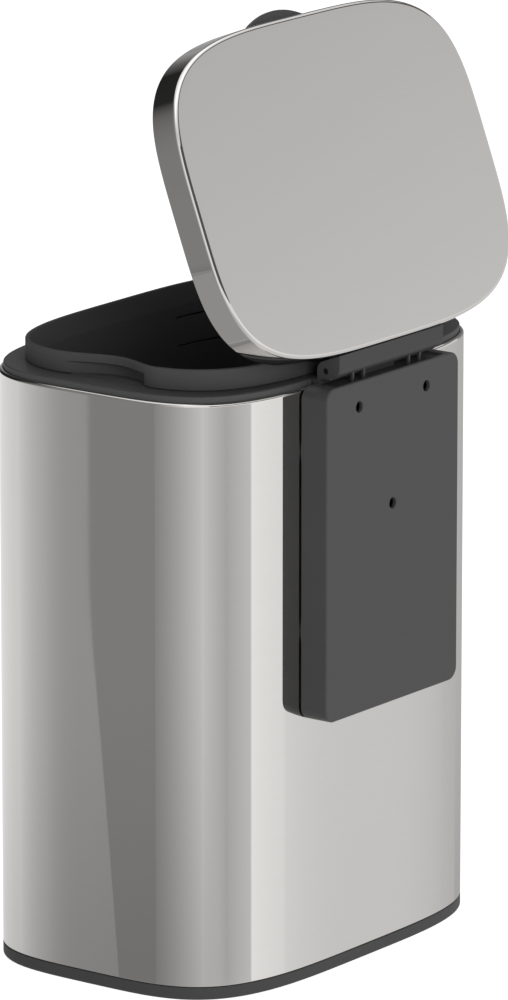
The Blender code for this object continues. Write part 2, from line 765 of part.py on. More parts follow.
def make_bracket(shop):
    """The wall bracket: a tray that follows the body's bow, with two hooks on top."""
    half_width = BRACKET_WIDTH / 2
    half_height = BRACKET_HEIGHT / 2
    bottom = BRACKET_TOP - BRACKET_HEIGHT
    depth = WALL_STANDOFF + CUT_OVERRUN
    outline = rounded_rectangle(half_width, half_height, BRACKET_CORNER_RADIUS, ROUND_STEPS // 4)
    middle = Vector((0, WALL_Y - depth / 2, BRACKET_MIDDLE))
    bracket = plate("wall_bracket", outline, depth, middle, "Y")
    bevel = bracket.modifiers.new("edges", "BEVEL")
    bevel.width = BRACKET_EDGE
    bevel.segments = 2
    bevel.limit_method = "ANGLE"

    inner_radius = BRACKET_CORNER_RADIUS - BRACKET_WALL
    inner = rounded_rectangle(
        half_width - BRACKET_WALL, half_height - BRACKET_WALL, inner_radius, ROUND_STEPS // 4
    )
    cavity_rear = WALL_Y - BRACKET_BACK
    cavity_middle = Vector((0, cavity_rear - depth / 2, BRACKET_MIDDLE))
    shop.cut(bracket, plate("bracket_cavity", inner, depth, cavity_middle, "Y"))

    edge = bottom - CUT_OVERRUN
    shop.cut(bracket, body_relief("bracket_relief", TOUCH_GAP, edge, BRACKET_TOP + CUT_OVERRUN))
    pads = [BRACKET_TOP - drop for drop in PAD_DROPS]
    starts = [edge] + [pad + PAD_HEIGHT / 2 for pad in reversed(pads)]
    ends = [pad - PAD_HEIGHT / 2 for pad in reversed(pads)] + [BRACKET_TOP + CUT_OVERRUN]
    for index, (low, high) in enumerate(zip(starts, ends)):
        shop.cut(bracket, body_relief(f"bracket_gap_{index}", BRACKET_SHELL_GAP, low, high))

    notch_rear = WALL_Y - BRACKET_BACK
    notch_half = HOUSING_HALF_LENGTH + 2 * BRACKET_NOTCH_GAP
    notch = box(
        "bracket_notch",
        (-notch_half, BODY_REAR - CUT_OVERRUN, BRACKET_TOP - BRACKET_NOTCH_DEPTH),
        (notch_half, notch_rear, BRACKET_TOP + CUT_OVERRUN),
    )
    shop.cut(bracket, notch)

    half_spacing = UPPER_HOLE_SPACING / 2
    spots = (
        (-half_spacing, UPPER_HOLE_DROP), (half_spacing, UPPER_HOLE_DROP), (0, LOWER_HOLE_DROP)
    )
    for index, (x, drop) in enumerate(spots):
        spot = Vector((x, WALL_Y - BRACKET_BACK / 2, BRACKET_TOP - drop))
        length = BRACKET_BACK + CUT_OVERRUN
        shop.cut(bracket, cylinder(f"bracket_hole_{index}", WALL_HOLE_RADIUS, length, spot, "Y"))

    window_half = HOOK_WIDTH / 2 - HOOK_RIB
    sill = BRACKET_TOP - BRACKET_NOTCH_DEPTH + TOUCH_GAP
    for side in (-1, 1):
        middle = side * HOOK_SPACING / 2
        shop.join(bracket, hook(f"bracket_hook_{side}", middle))
        window = box(
            f"bracket_hook_window_{side}",
            (middle - window_half, HOOK_REAR - HOOK_DEPTH - CUT_OVERRUN, sill),
            (middle + window_half, HOOK_REAR + CUT_OVERRUN, HOOK_TOP - HOOK_BAR),
        )
        shop.cut(bracket, window)
    shop.piece(bracket, CHARCOAL_PLASTIC)


def hook(name, x):
    """Return one hook: a web with a rib along each edge, standing on the bracket."""
    half = HOOK_WIDTH / 2
    front = HOOK_REAR - HOOK_DEPTH
    web_rear = front + HOOK_WEB
    outline = [
        (x - half, front), (x + half, front), (x + half, HOOK_REAR), (x + half - HOOK_RIB, HOOK_REAR),
        (x + half - HOOK_RIB, web_rear), (x - half + HOOK_RIB, web_rear),
        (x - half + HOOK_RIB, HOOK_REAR), (x - half, HOOK_REAR),
    ]
    height = HOOK_HEIGHT + (BRACKET_NOTCH_DEPTH + BRACKET_WALL) / 2
    return plate(name, outline, height, Vector((0, 0, HOOK_TOP - height / 2)), "Z")


def main():
    """Build the whole object."""
    clear_scene()
    shop = Workshop()
    make_shell(shop)
    make_base(shop)
    make_collar(shop)
    make_bucket(shop)
    make_housing(shop)
    make_hinge_parts(shop)
    make_screws(shop)
    make_lid_skin(shop)
    make_lid_liner(shop)
    make_bracket(shop)
    bpy.context.view_layer.update()


main()
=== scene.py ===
"""Looks of the wall-mounted trash can: polished steel over charcoal and black mouldings.

Every surface is worked out in body coordinates (x across, y to the wall, z up from the
underside of the foot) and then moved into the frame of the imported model.
"""

import logging
import math
from dataclasses import dataclass
from enum import Enum

import bmesh
import bpy
import numpy as np
from mathutils import Matrix, Vector

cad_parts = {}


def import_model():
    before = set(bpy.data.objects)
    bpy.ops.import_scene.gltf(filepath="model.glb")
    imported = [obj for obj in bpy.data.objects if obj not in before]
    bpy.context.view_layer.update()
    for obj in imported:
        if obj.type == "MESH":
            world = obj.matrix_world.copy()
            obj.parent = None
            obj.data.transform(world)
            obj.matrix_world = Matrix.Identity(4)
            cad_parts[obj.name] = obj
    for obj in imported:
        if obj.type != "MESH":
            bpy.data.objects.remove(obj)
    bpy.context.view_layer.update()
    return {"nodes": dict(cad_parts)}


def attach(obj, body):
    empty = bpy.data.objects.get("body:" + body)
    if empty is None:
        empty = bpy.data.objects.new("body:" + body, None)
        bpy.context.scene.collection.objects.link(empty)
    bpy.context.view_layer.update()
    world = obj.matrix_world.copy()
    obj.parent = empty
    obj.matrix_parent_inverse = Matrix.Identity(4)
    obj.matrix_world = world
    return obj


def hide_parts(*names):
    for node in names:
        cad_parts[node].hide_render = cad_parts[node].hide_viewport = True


LOG = logging.getLogger("trash_can")
Piece = bpy.types.Object
Socket = bpy.types.NodeSocket
Pair = tuple[float, float]
Triple = tuple[float, float, float]

# Places that the sub-assemblies share, in body coordinates
BODY_HEIGHT = 0.300
FLANGE_TOP = 0.3032
RIM_TOP = 0.3140
WALL_Y = 0.09755
BRACKET_MIDDLE = 0.2178
BRACKET_TOP = 0.3016
BODY_REAR = 0.08275
HINGE_Y = 0.0881
HINGE_Z = 0.3080
LID_OPEN_DEGREES = 69.5
HOUSING_HALF_LENGTH = 0.0434
PLATE_FRONT = 0.07455
SCREW_X = 0.030
SCREW_Y = BODY_REAR - 0.0057
SCREW_HOLE_RADIUS = 0.0013
PIN_HOLE_RADIUS = 0.0016
GAP = 0.0003
SHEET = 0.0006
HOOK_SPACING = 0.0468
# How far a cutting shape reaches past what it cuts
OVERSHOOT = 0.004
# Points nearer than this are one point: as a surface is skinned, and after it is cut
SKIN_MERGE = 1e-7
CUT_MERGE = 2e-6
# An edge is rounded past the first angle, and shaded sharp past the second
ROUND_DEGREES = 40
SHARP_DEGREES = 32
# The share of a full turn that parts two panels of the studio
PANEL_GAP = 1e-5


class Body(Enum):
    """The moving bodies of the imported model."""

    BRACKET = "bracket"
    BIN = "bin"
    LID = "lid"
    BUCKET = "bucket"


class Axis(Enum):
    """The direction that a flat section is carried along."""

    X = 0
    Y = 1
    Z = 2


class Graph:
    """Adds nodes to a material's or the world's node tree."""

    def __init__(self, owner: bpy.types.ID) -> None:
        """Start from an empty tree.

        Args:
            owner: the material or the world.
        """
        owner.use_nodes = True
        self.tree = owner.node_tree
        self.tree.nodes.clear()

    def node(self, kind: str, feeds: dict | None = None, **settings: object) -> bpy.types.Node:
        """Add one node.

        Args:
            kind: the node's type name after ShaderNode.
            feeds: sockets or constants for its inputs, by name or number.
            **settings: attributes to set on it.

        Returns:
            The new node.
        """
        made = self.tree.nodes.new(f"ShaderNode{kind}")
        for name, value in settings.items():
            setattr(made, name, value)
        for name, value in (feeds or {}).items():
            if isinstance(value, Socket):
                self.tree.links.new(value, made.inputs[name])
            else:
                made.inputs[name].default_value = value
        return made

    def math(self, operation: str, *values: object) -> Socket:
        """Work on sockets or numbers, given in the order of the Math node's inputs."""
        return self.node("Math", dict(enumerate(values)), operation=operation).outputs[0]

    def rest(self, share: Socket) -> Socket:
        """Return what a share leaves of one."""
        return self.math("SUBTRACT", 1.0, share)

    def smooth(self, value: Socket, low: float, high: float) -> Socket:
        """Ease from 0 at low to 1 at high."""
        feeds = {"Value": value, "From Min": low, "From Max": high}
        return self.node("MapRange", feeds, interpolation_type="SMOOTHSTEP").outputs["Result"]

    def step(self, value: Socket, middle: float, width: float) -> Socket:
        """Ease from 0 to 1 across a middle."""
        return self.smooth(value, middle - width / 2, middle + width / 2)

    def mix_level(self, share: Socket, first: object, second: object) -> Socket:
        """Mix two levels: first + share (second - first)."""
        return self.math("MULTIPLY_ADD", share, self.math("SUBTRACT", second, first), first)

    def ramp(self, value: Socket, stops: list[Pair]) -> Socket:
        """Add a grey ramp.

        Args:
            value: a share from 0 to 1.
            stops: (place, level) pairs in rising order.

        Returns:
            The level.
        """
        made = self.node("ValToRGB", {0: value})
        elements = made.color_ramp.elements
        while len(elements) < len(stops):
            elements.new(1.0)
        for element, (place, level) in zip(elements, stops):
            element.position = place
            element.color = (level, level, level, 1.0)
        return made.outputs[0]

    def tint(self, share: Socket, colour: Triple, depth: float) -> Socket:
        """Vary a colour by a share, from darker by its depth to lighter by its depth."""
        dark, light = ((*(part * (1.0 + way) for part in colour), 1.0) for way in (-depth, depth))
        return self.node("Mix", {0: share, 6: dark, 7: light}, data_type="RGBA").outputs[2]

    def noise(self, scale: float, detail: float = 2.0, stretch: Triple = (1.0, 1.0, 1.0)) -> Socket:
        """Add a noise on the piece's own coordinates.

        Args:
            scale: how many features there are in a metre.
            detail: how many finer layers it has.
            stretch: the share of the scale along X, Y and Z.

        Returns:
            The noise, from 0 to 1.
        """
        place = self.node("TexCoord").outputs["Object"]
        mapping = self.node("Mapping", {"Scale": stretch, "Vector": place})
        feeds = {"Scale": scale, "Detail": detail, "Vector": mapping.outputs["Vector"]}
        return self.node("TexNoise", feeds).outputs[0]

    def finish(self, surface: bpy.types.Node, kind: str = "Material") -> None:
        """Show a shader as the tree's result."""
        self.node(f"Output{kind}", {"Surface": surface.outputs[0]})


@dataclass(frozen=True)
class Finish:
    """A material of one shader, which each kind of finish feeds in its own way."""

    name: str

    def material(self) -> bpy.types.Material:
        """Make the finish.

        Returns:
            The new material.
        """
        made = bpy.data.materials.new(self.name)
        graph = Graph(made)
        graph.finish(graph.node("BsdfPrincipled", self.feeds(graph)))
        return made

    def feeds(self, graph: Graph) -> dict[str, object]:
        """Return what feeds the shader's inputs, by name."""
        raise NotImplementedError


@dataclass(frozen=True)
class SteelFinish(Finish):
    """Polished stainless steel: a mirror with faint polishing streaks and smears."""

    colour: Triple = (0.655, 0.640, 0.622)
    roughness: float = 0.012
    smear: float = 0.008
    smear_scale: float = 14.0
    smear_ends: Pair = (0.45, 0.75)
    streak_scale: float = 900.0
    streak_shares: Triple = (0.03, 0.03, 1.0)
    streak_depth: float = 0.012

    def feeds(self, graph: Graph) -> dict[str, object]:
        """Streak and dull a metal.

        The streaks are noise squeezed to lines, and the smears are broad noise.

        Args:
            graph: the material's nodes.

        Returns:
            What feeds the shader's inputs.
        """
        streaks = graph.noise(self.streak_scale, stretch=self.streak_shares)
        smears = graph.smooth(graph.noise(self.smear_scale, 4.0), *self.smear_ends)
        return {
            "Metallic": 1.0,
            "Base Color": graph.tint(streaks, self.colour, self.streak_depth),
            "Roughness": graph.math("MULTIPLY_ADD", smears, self.smear, self.roughness),
        }


@dataclass(frozen=True)
class MouldedFinish(Finish):
    """Moulded plastic: a fine even grain, slight flow marks and a soft sheen."""

    colour: Triple
    roughness: float
    specular: float = 0.5
    grain_scale: float = 2600.0
    grain_depth: float = 0.000012
    grain_dulls: float = 0.06
    flow_scale: float = 22.0
    flow_share: float = 0.08
    flow_dulls: float = 0.10

    def feeds(self, graph: Graph) -> dict[str, object]:
        """Grain a plastic and vary it along its flow.

        Args:
            graph: the material's nodes.

        Returns:
            What feeds the shader's inputs.
        """
        flow, grain = graph.noise(self.flow_scale, 4.0), graph.noise(self.grain_scale)
        start = self.roughness - self.flow_dulls / 2
        worn = graph.math("MULTIPLY_ADD", flow, self.flow_dulls, start)
        bump = graph.node("Bump", {"Distance": self.grain_depth, "Height": grain})
        return {
            "Specular IOR Level": self.specular,
            "Base Color": graph.tint(flow, self.colour, self.flow_share),
            "Roughness": graph.math("MULTIPLY_ADD", grain, self.grain_dulls, worn),
            "Normal": bump.outputs["Normal"],
        }


@dataclass(frozen=True)
class WireSteelFinish(Finish):
    """Plain drawn steel of the pin and screws, with fine turned rings."""

    colour: Triple = (0.50, 0.50, 0.51)
    roughness: float = 0.32
    ring_scale: float = 4000.0
    ring_dulls: float = 0.12

    def feeds(self, graph: Graph) -> dict[str, object]:
        """Ring a metal finely.

        Args:
            graph: the material's nodes.

        Returns:
            What feeds the shader's inputs.
        """
        rings, start = graph.noise(self.ring_scale), self.roughness - self.ring_dulls / 2
        dulled = graph.math("MULTIPLY_ADD", rings, self.ring_dulls, start)
        return {"Metallic": 1.0, "Base Color": (*self.colour, 1.0), "Roughness": dulled}


@dataclass(frozen=True)
class Outline:
    """A rounded plan shape: |x/a|^p + |y/b|^p = 1 about the body's middle."""

    half_width: float
    half_depth: float
    power: float
    count: int = 480
    trials: int = 48001

    def spots(self) -> tuple[np.ndarray, np.ndarray]:
        """Spread points along the outline, closer together where it turns.

        A point at angle t is r (cos t, sin t), r = (|cos t / a|^p + |sin t / b|^p)^(-1/p).
        The angles are spaced half by length and half by turning.

        Returns:
            The points and their outward normals, each with one row per point.
        """
        fine = np.linspace(0.0, math.tau, self.trials)
        points, normals = self._at(fine)
        step = np.linalg.norm(np.diff(points, axis=0), axis=1)
        turn = np.arccos(np.clip((normals[1:] * normals[:-1]).sum(1), -1.0, 1.0))
        share = 0.5 * step / step.sum() + 0.5 * turn / turn.sum()
        travel = np.concatenate(([0.0], np.cumsum(share)))
        wanted = np.arange(self.count) / self.count
        return self._at(np.interp(wanted, travel, fine))

    def _at(self, angles: np.ndarray) -> tuple[np.ndarray, np.ndarray]:
        """Work out the outline at some angles.

        Args:
            angles: the angles.

        Returns:
            The points and their outward normals.
        """
        cosine, sine = np.cos(angles), np.sin(angles)
        across = np.abs(cosine / self.half_width) ** self.power
        along = np.abs(sine / self.half_depth) ** self.power
        radius = (across + along) ** (-1.0 / self.power)
        points = np.stack((radius * cosine, radius * sine), axis=1)
        across, along = self._slopes(*points.T)
        normals = np.stack((across, along), axis=1) / np.hypot(across, along)[:, None]
        return points, normals

    def _slopes(self, x: np.ndarray, y: np.ndarray) -> tuple[np.ndarray, np.ndarray]:
        """Return the formula's slopes across and along at some points."""
        slopes = ((x, self.half_width), (y, self.half_depth))
        return tuple(np.sign(t) * np.abs(t / a) ** (self.power - 1) / a for t, a in slopes)

    def ring(self, inset: object, z: object, shrink: float = 1.0) -> np.ndarray:
        """Return one ring of the outline.

        Args:
            inset: how far in it stands, one number or one per point.
            z: its height, the same way.
            shrink: the share of its size.

        Returns:
            One row (x, y, z) per point.
        """
        points, normals = self.spots()
        plan = (points - normals * np.reshape(inset, (-1, 1))) * shrink
        heights = np.broadcast_to(np.asarray(z, float), (self.count,))
        return np.column_stack((plan, heights))

    def rings(self, section: list[Pair]) -> list[np.ndarray]:
        """Return a ring for each (inset, z) of a section."""
        return [self.ring(inset, z) for inset, z in section]

    def y_at(self, x: np.ndarray, grow: float) -> np.ndarray:
        """Return the outline's rear y at x: b (1 - |x/a|^p)^(1/p), grown by a gap.

        Args:
            x: places across.
            grow: how far out from the outline.

        Returns:
            The y of each place.
        """
        share = np.clip(1.0 - np.abs(x / self.half_width) ** self.power, 0.0, 1.0)
        y = self.half_depth * share ** (1.0 / self.power)
        across, along = self._slopes(x, y)
        return y + grow * np.hypot(1.0, across / along)


BODY = Outline(0.12015, BODY_REAR, 3.8)
RIM = Outline(0.10725, 0.07395, 3.7)


def ease(value: object) -> object:
    """Ease from 0 to 1: t^2 (3 - 2 t)."""
    value = np.clip(value, 0.0, 1.0)
    return value * value * (3.0 - 2.0 * value)


def quarter(middle: Pair, radius: float, start: float, end: float, steps: int = 5) -> list[Pair]:
    """Return the points of an arc, middle + r (cos a, sin a), with its ends in degrees."""
    angles = np.radians(np.linspace(start, end, steps + 1))
    return [(middle[0] + radius * math.cos(a), middle[1] + radius * math.sin(a)) for a in angles]


def solid(name: str, points: np.ndarray, faces: list[list[int]]) -> Piece:
    """Put a mesh in the scene, with its faces turned out.

    Args:
        name: the piece's name.
        points: one row (x, y, z) per point.
        faces: the points of each face.

    Returns:
        The new object.
    """
    mesh = bpy.data.meshes.new(name)
    mesh.from_pydata(points.tolist(), [], faces)
    work = bmesh.new()
    work.from_mesh(mesh)
    bmesh.ops.remove_doubles(work, verts=work.verts, dist=SKIN_MERGE)
    bmesh.ops.recalc_face_normals(work, faces=work.faces)
    work.to_mesh(mesh)
    work.free()
    item = bpy.data.objects.new(name, mesh)
    bpy.context.scene.collection.objects.link(item)
    return item


def grid_mesh(name: str, rows: list[np.ndarray], loop: bool = False) -> Piece:
    """Skin rings of points with faces.

    Args:
        name: the piece's name.
        rows: the rings, each with the same number of points.
        loop: whether the last ring joins the first. If not, both close on their middles.

    Returns:
        The new closed object.
    """
    grid = np.stack(rows)
    count, around = grid.shape[:2]
    first = np.arange(count if loop else count - 1)[:, None] * around
    after = (first + around) % (count * around)
    column = np.arange(around)
    beside = (column + 1) % around
    corners = (first + column, first + beside, after + beside, after + column)
    faces = np.stack([corner.ravel() for corner in corners], axis=1).tolist()
    points = grid.reshape(-1, 3)
    if not loop:
        middles = np.stack((grid[0].mean(0), grid[-1].mean(0)))
        low = np.full(around, len(points))
        points = np.concatenate((points, middles))
        last = (count - 1) * around
        faces += np.stack((low, beside, column), axis=1).tolist()
        faces += np.stack((low + 1, last + column, last + beside), axis=1).tolist()
    return solid(name, points, faces)


def prism(name: str, section: list[Pair], low: float, high: float, axis: Axis) -> Piece:
    """Carry a flat section along an axis: the point is (section, t) for t from low to high.

    Args:
        name: the piece's name.
        section: its outline, (y, z) along X, (x, z) along Y or (x, y) along Z.
        low: where it starts.
        high: where it ends.
        axis: the direction it is carried along.

    Returns:
        The new closed object.
    """
    flat = np.array(section)
    count = len(flat)
    ends = [np.insert(flat, axis.value, place, axis=1) for place in (low, high)]
    column = np.arange(count)
    beside = (column + 1) % count
    sides = np.stack((column, beside, beside + count, column + count), axis=1).tolist()
    faces = sides + [column[::-1].tolist(), (column + count).tolist()]
    return solid(name, np.concatenate(ends), faces)


def turned(name: str, profile: list[Pair], middle: Triple, axis: Axis, count: int = 48) -> Piece:
    """Spin a profile of (radius, place) about an axis: (r cos a, r sin a, t).

    Args:
        name: the piece's name.
        profile: the profile; its first and last points close on the axis.
        middle: the point that places are counted from.
        axis: the axis of the spin.
        count: how many parts it has round.

    Returns:
        The new closed object.
    """
    angles = np.arange(count) * math.tau / count
    rows = []
    for radius, place in profile:
        flat = np.stack((radius * np.cos(angles), radius * np.sin(angles)), axis=1)
        rows.append(np.insert(flat, axis.value, place, axis=1) + np.array(middle))
    return grid_mesh(name, rows)


def box(name: str, half: float, y: Pair, z: Pair, x: float = 0.0) -> Piece:
    """Return a box that reaches half its width to either side of x."""
    corners = [(x - half, y[0]), (x + half, y[0]), (x + half, y[1]), (x - half, y[1])]
    return prism(name, corners, *z, Axis.Z)


def bake(item: Piece) -> None:
    """Put an object's modifiers into its mesh.

    Args:
        item: the object.
    """
    bpy.context.view_layer.update()
    shown = item.evaluated_get(bpy.context.evaluated_depsgraph_get())
    made = bpy.data.meshes.new_from_object(shown)
    item.modifiers.clear()
    item.data = made


def combine(item: Piece, other: Piece, operation: str = "DIFFERENCE") -> None:
    """Cut or join a second shape and drop it.

    Args:
        item: the object that stays.
        other: the shape that cuts it or joins it.
        operation: DIFFERENCE or UNION.
    """
    modifier = item.modifiers.new("shape", "BOOLEAN")
    modifier.operation = operation
    modifier.solver = "EXACT"
    modifier.object = other
    bake(item)
    bpy.data.objects.remove(other, do_unlink=True)


def screw_hole(side: int, low: float, high: float) -> Piece:
    """Return the hole of the screw on one side, -1 or 1, that holds housing and collar."""
    profile = [(SCREW_HOLE_RADIUS, low), (SCREW_HOLE_RADIUS, high)]
    return turned("hole", profile, (side * SCREW_X, SCREW_Y, 0.0), Axis.Z)


def hinge_rod(name: str, radius: float, half: float) -> Piece:
    """Return a rod about the hinge's axis."""
    return turned(name, [(radius, -half), (radius, half)], (0.0, HINGE_Y, HINGE_Z), Axis.X)


def ease_edges(item: Piece, width: float, segments: int = 3) -> None:
    """Round an object's sharp edges.

    Args:
        item: the object.
        width: how wide the rounding is.
        segments: how many parts it has.
    """
    modifier = item.modifiers.new("edges", "BEVEL")
    modifier.width = width
    modifier.segments = segments
    modifier.limit_method = "ANGLE"
    modifier.angle_limit = math.radians(ROUND_DEGREES)
    bake(item)


def tidy_mesh(item: Piece) -> None:
    """Merge points that lie on each other and drop the faces that have no area.

    Args:
        item: the object.
    """
    work = bmesh.new()
    work.from_mesh(item.data)
    bmesh.ops.remove_doubles(work, verts=work.verts, dist=CUT_MERGE)
    bmesh.ops.dissolve_degenerate(work, edges=work.edges, dist=CUT_MERGE)
    work.to_mesh(item.data)
    work.free()


def place(item: Piece, body: Body, node: str, finish: Finish) -> None:
    """Move a finished shape from body coordinates into the model's frame and dress it.

    The lid's pieces are drawn shut and are turned open here.

    Args:
        item: the object.
        body: the body that it moves with.
        node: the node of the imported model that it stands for.
        finish: its finish.
    """
    tidy_mesh(item)
    move = Matrix.Translation((0.0, -WALL_Y, -BRACKET_MIDDLE))
    if body is Body.LID:
        hinge = Vector((0.0, HINGE_Y, HINGE_Z))
        opened = Matrix.Rotation(-math.radians(LID_OPEN_DEGREES), 4, "X")
        move = move @ Matrix.Translation(hinge) @ opened @ Matrix.Translation(-hinge)
    item.data.transform(move)
    item.data.materials.clear()
    item.data.materials.append(finish.material())
    item.data.shade_smooth()
    item.data.set_sharp_from_angle(angle=math.radians(SHARP_DEGREES))
    weighting = item.modifiers.new("large_faces_lead", "WEIGHTED_NORMAL")
    weighting.keep_sharp = True
    bake(item)
    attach(item, body.value)
    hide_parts(node)
    LOG.info("%s: %d faces, rides on %s", item.name, len(item.data.polygons), body.value)


@dataclass
class SteelBody:
    """The steel sleeve and the base cap that closes it below."""

    foot_height: float = 0.0065
    curl: float = 0.0015
    recess: float = 0.003
    floor_top: float = 0.0055
    foot_width: float = 0.008
    spigot_top: float = 0.0185
    spigot_wall: float = 0.002
    foot_round: float = 0.0012
    steel: SteelFinish = SteelFinish("polished_shell_steel")
    plastic: MouldedFinish = MouldedFinish("charcoal_base", (0.050, 0.050, 0.051), 0.52, 0.3)

    def make_shell(self) -> None:
        """Carry the sheet's section, curled in at the mouth, round the outline."""
        low, high = self.foot_height + GAP, BODY_HEIGHT
        half, curl = SHEET / 2, self.curl
        section = quarter((curl, high - curl), curl, 180, 90, 8)
        section += quarter((curl, high - half), half, 90, -90, 8)
        section += quarter((curl, high - curl), curl - SHEET, 90, 180, 4)
        section += quarter((half, low + half), half, 0, -180, 8)
        shell = grid_mesh("shell_sleeve", BODY.rings(section), loop=True)
        place(shell, Body.BIN, "outer_shell", self.steel)

    def make_base(self) -> None:
        """Close the sleeve below with a foot ring, a spigot and a floor."""
        spigot = SHEET + GAP
        inner = spigot + self.spigot_wall
        edge, lip = self.foot_round, self.foot_round / 2
        section = [(self.foot_width, self.recess), (self.foot_width, 0.0)]
        section += quarter((edge, edge), edge, 270, 180, 6)
        section += quarter((lip, self.foot_height - lip), lip, 180, 90, 4)
        section += [(spigot, self.foot_height), (spigot, self.spigot_top)]
        section += [(inner, self.spigot_top), (inner, self.floor_top)]
        rows = [BODY.ring(self.foot_width, self.recess, 0.5), *BODY.rings(section)]
        rows += [BODY.ring(inner, self.floor_top, 0.5)]
        place(grid_mesh("base_foot", rows), Body.BIN, "base_cap", self.plastic)


@dataclass
class Collar:
    """The collar in the sleeve's mouth, whose flange carries the bucket."""

    bottom: float = 0.278
    groove: float = 0.2989
    groove_chamfer: float = 0.0005
    wall_inset: float = 0.0009
    wall: float = 0.002
    riser_inset: float = 0.0021
    edge: float = 0.0007
    opening: float = 0.0022
    opening_round: float = 0.0004
    flange: float = 0.002
    seat_top: float = 0.3003
    seat_front: float = 0.07225
    seat_thickness: float = 0.0021
    seat_side: float = 0.0025
    end_gap: float = 0.001
    plastic: MouldedFinish = MouldedFinish("charcoal_collar", (0.076, 0.076, 0.077), 0.45, 0.20)

    def make(self) -> None:
        """Carry the collar's section round, from the sleeve's outline to the bucket's."""
        edge, lip, chamfer = self.edge, self.opening_round, self.groove_chamfer
        inner = self.wall_inset + self.wall
        under = FLANGE_TOP - self.flange
        outside = [
            (self.wall_inset, self.bottom),
            (self.wall_inset, self.groove - chamfer),
            (self.wall_inset + chamfer, self.groove),
            (self.riser_inset, self.groove),
        ]
        outside += quarter((self.riser_inset + edge, FLANGE_TOP - edge), edge, 180, 90, 5)
        mouth = quarter((self.opening - lip, FLANGE_TOP - lip), lip, 90, 0, 3)
        mouth += [(self.opening, under)]
        inside = [(inner, under), (inner, self.bottom)]
        rows = BODY.rings(outside) + RIM.rings(mouth) + BODY.rings(inside)
        collar = grid_mesh("collar_ring", rows, loop=True)
        half = HOUSING_HALF_LENGTH + self.end_gap
        depths = (self.seat_front, BODY_REAR - (inner + self.riser_inset) / 2)
        heights = (self.seat_top - self.seat_thickness, FLANGE_TOP - self.flange / 2)
        combine(collar, box("seat", half + self.seat_side, depths, heights), "UNION")
        depths = (PLATE_FRONT - GAP, BODY_REAR + OVERSHOOT)
        combine(collar, box("recess", half, depths, (self.seat_top, FLANGE_TOP + OVERSHOOT)))
        for side in (-1, 1):
            hole = screw_hole(side, self.seat_top - OVERSHOOT, self.seat_top + OVERSHOOT)
            combine(collar, hole)
        place(collar, Body.BIN, "top_collar", self.plastic)


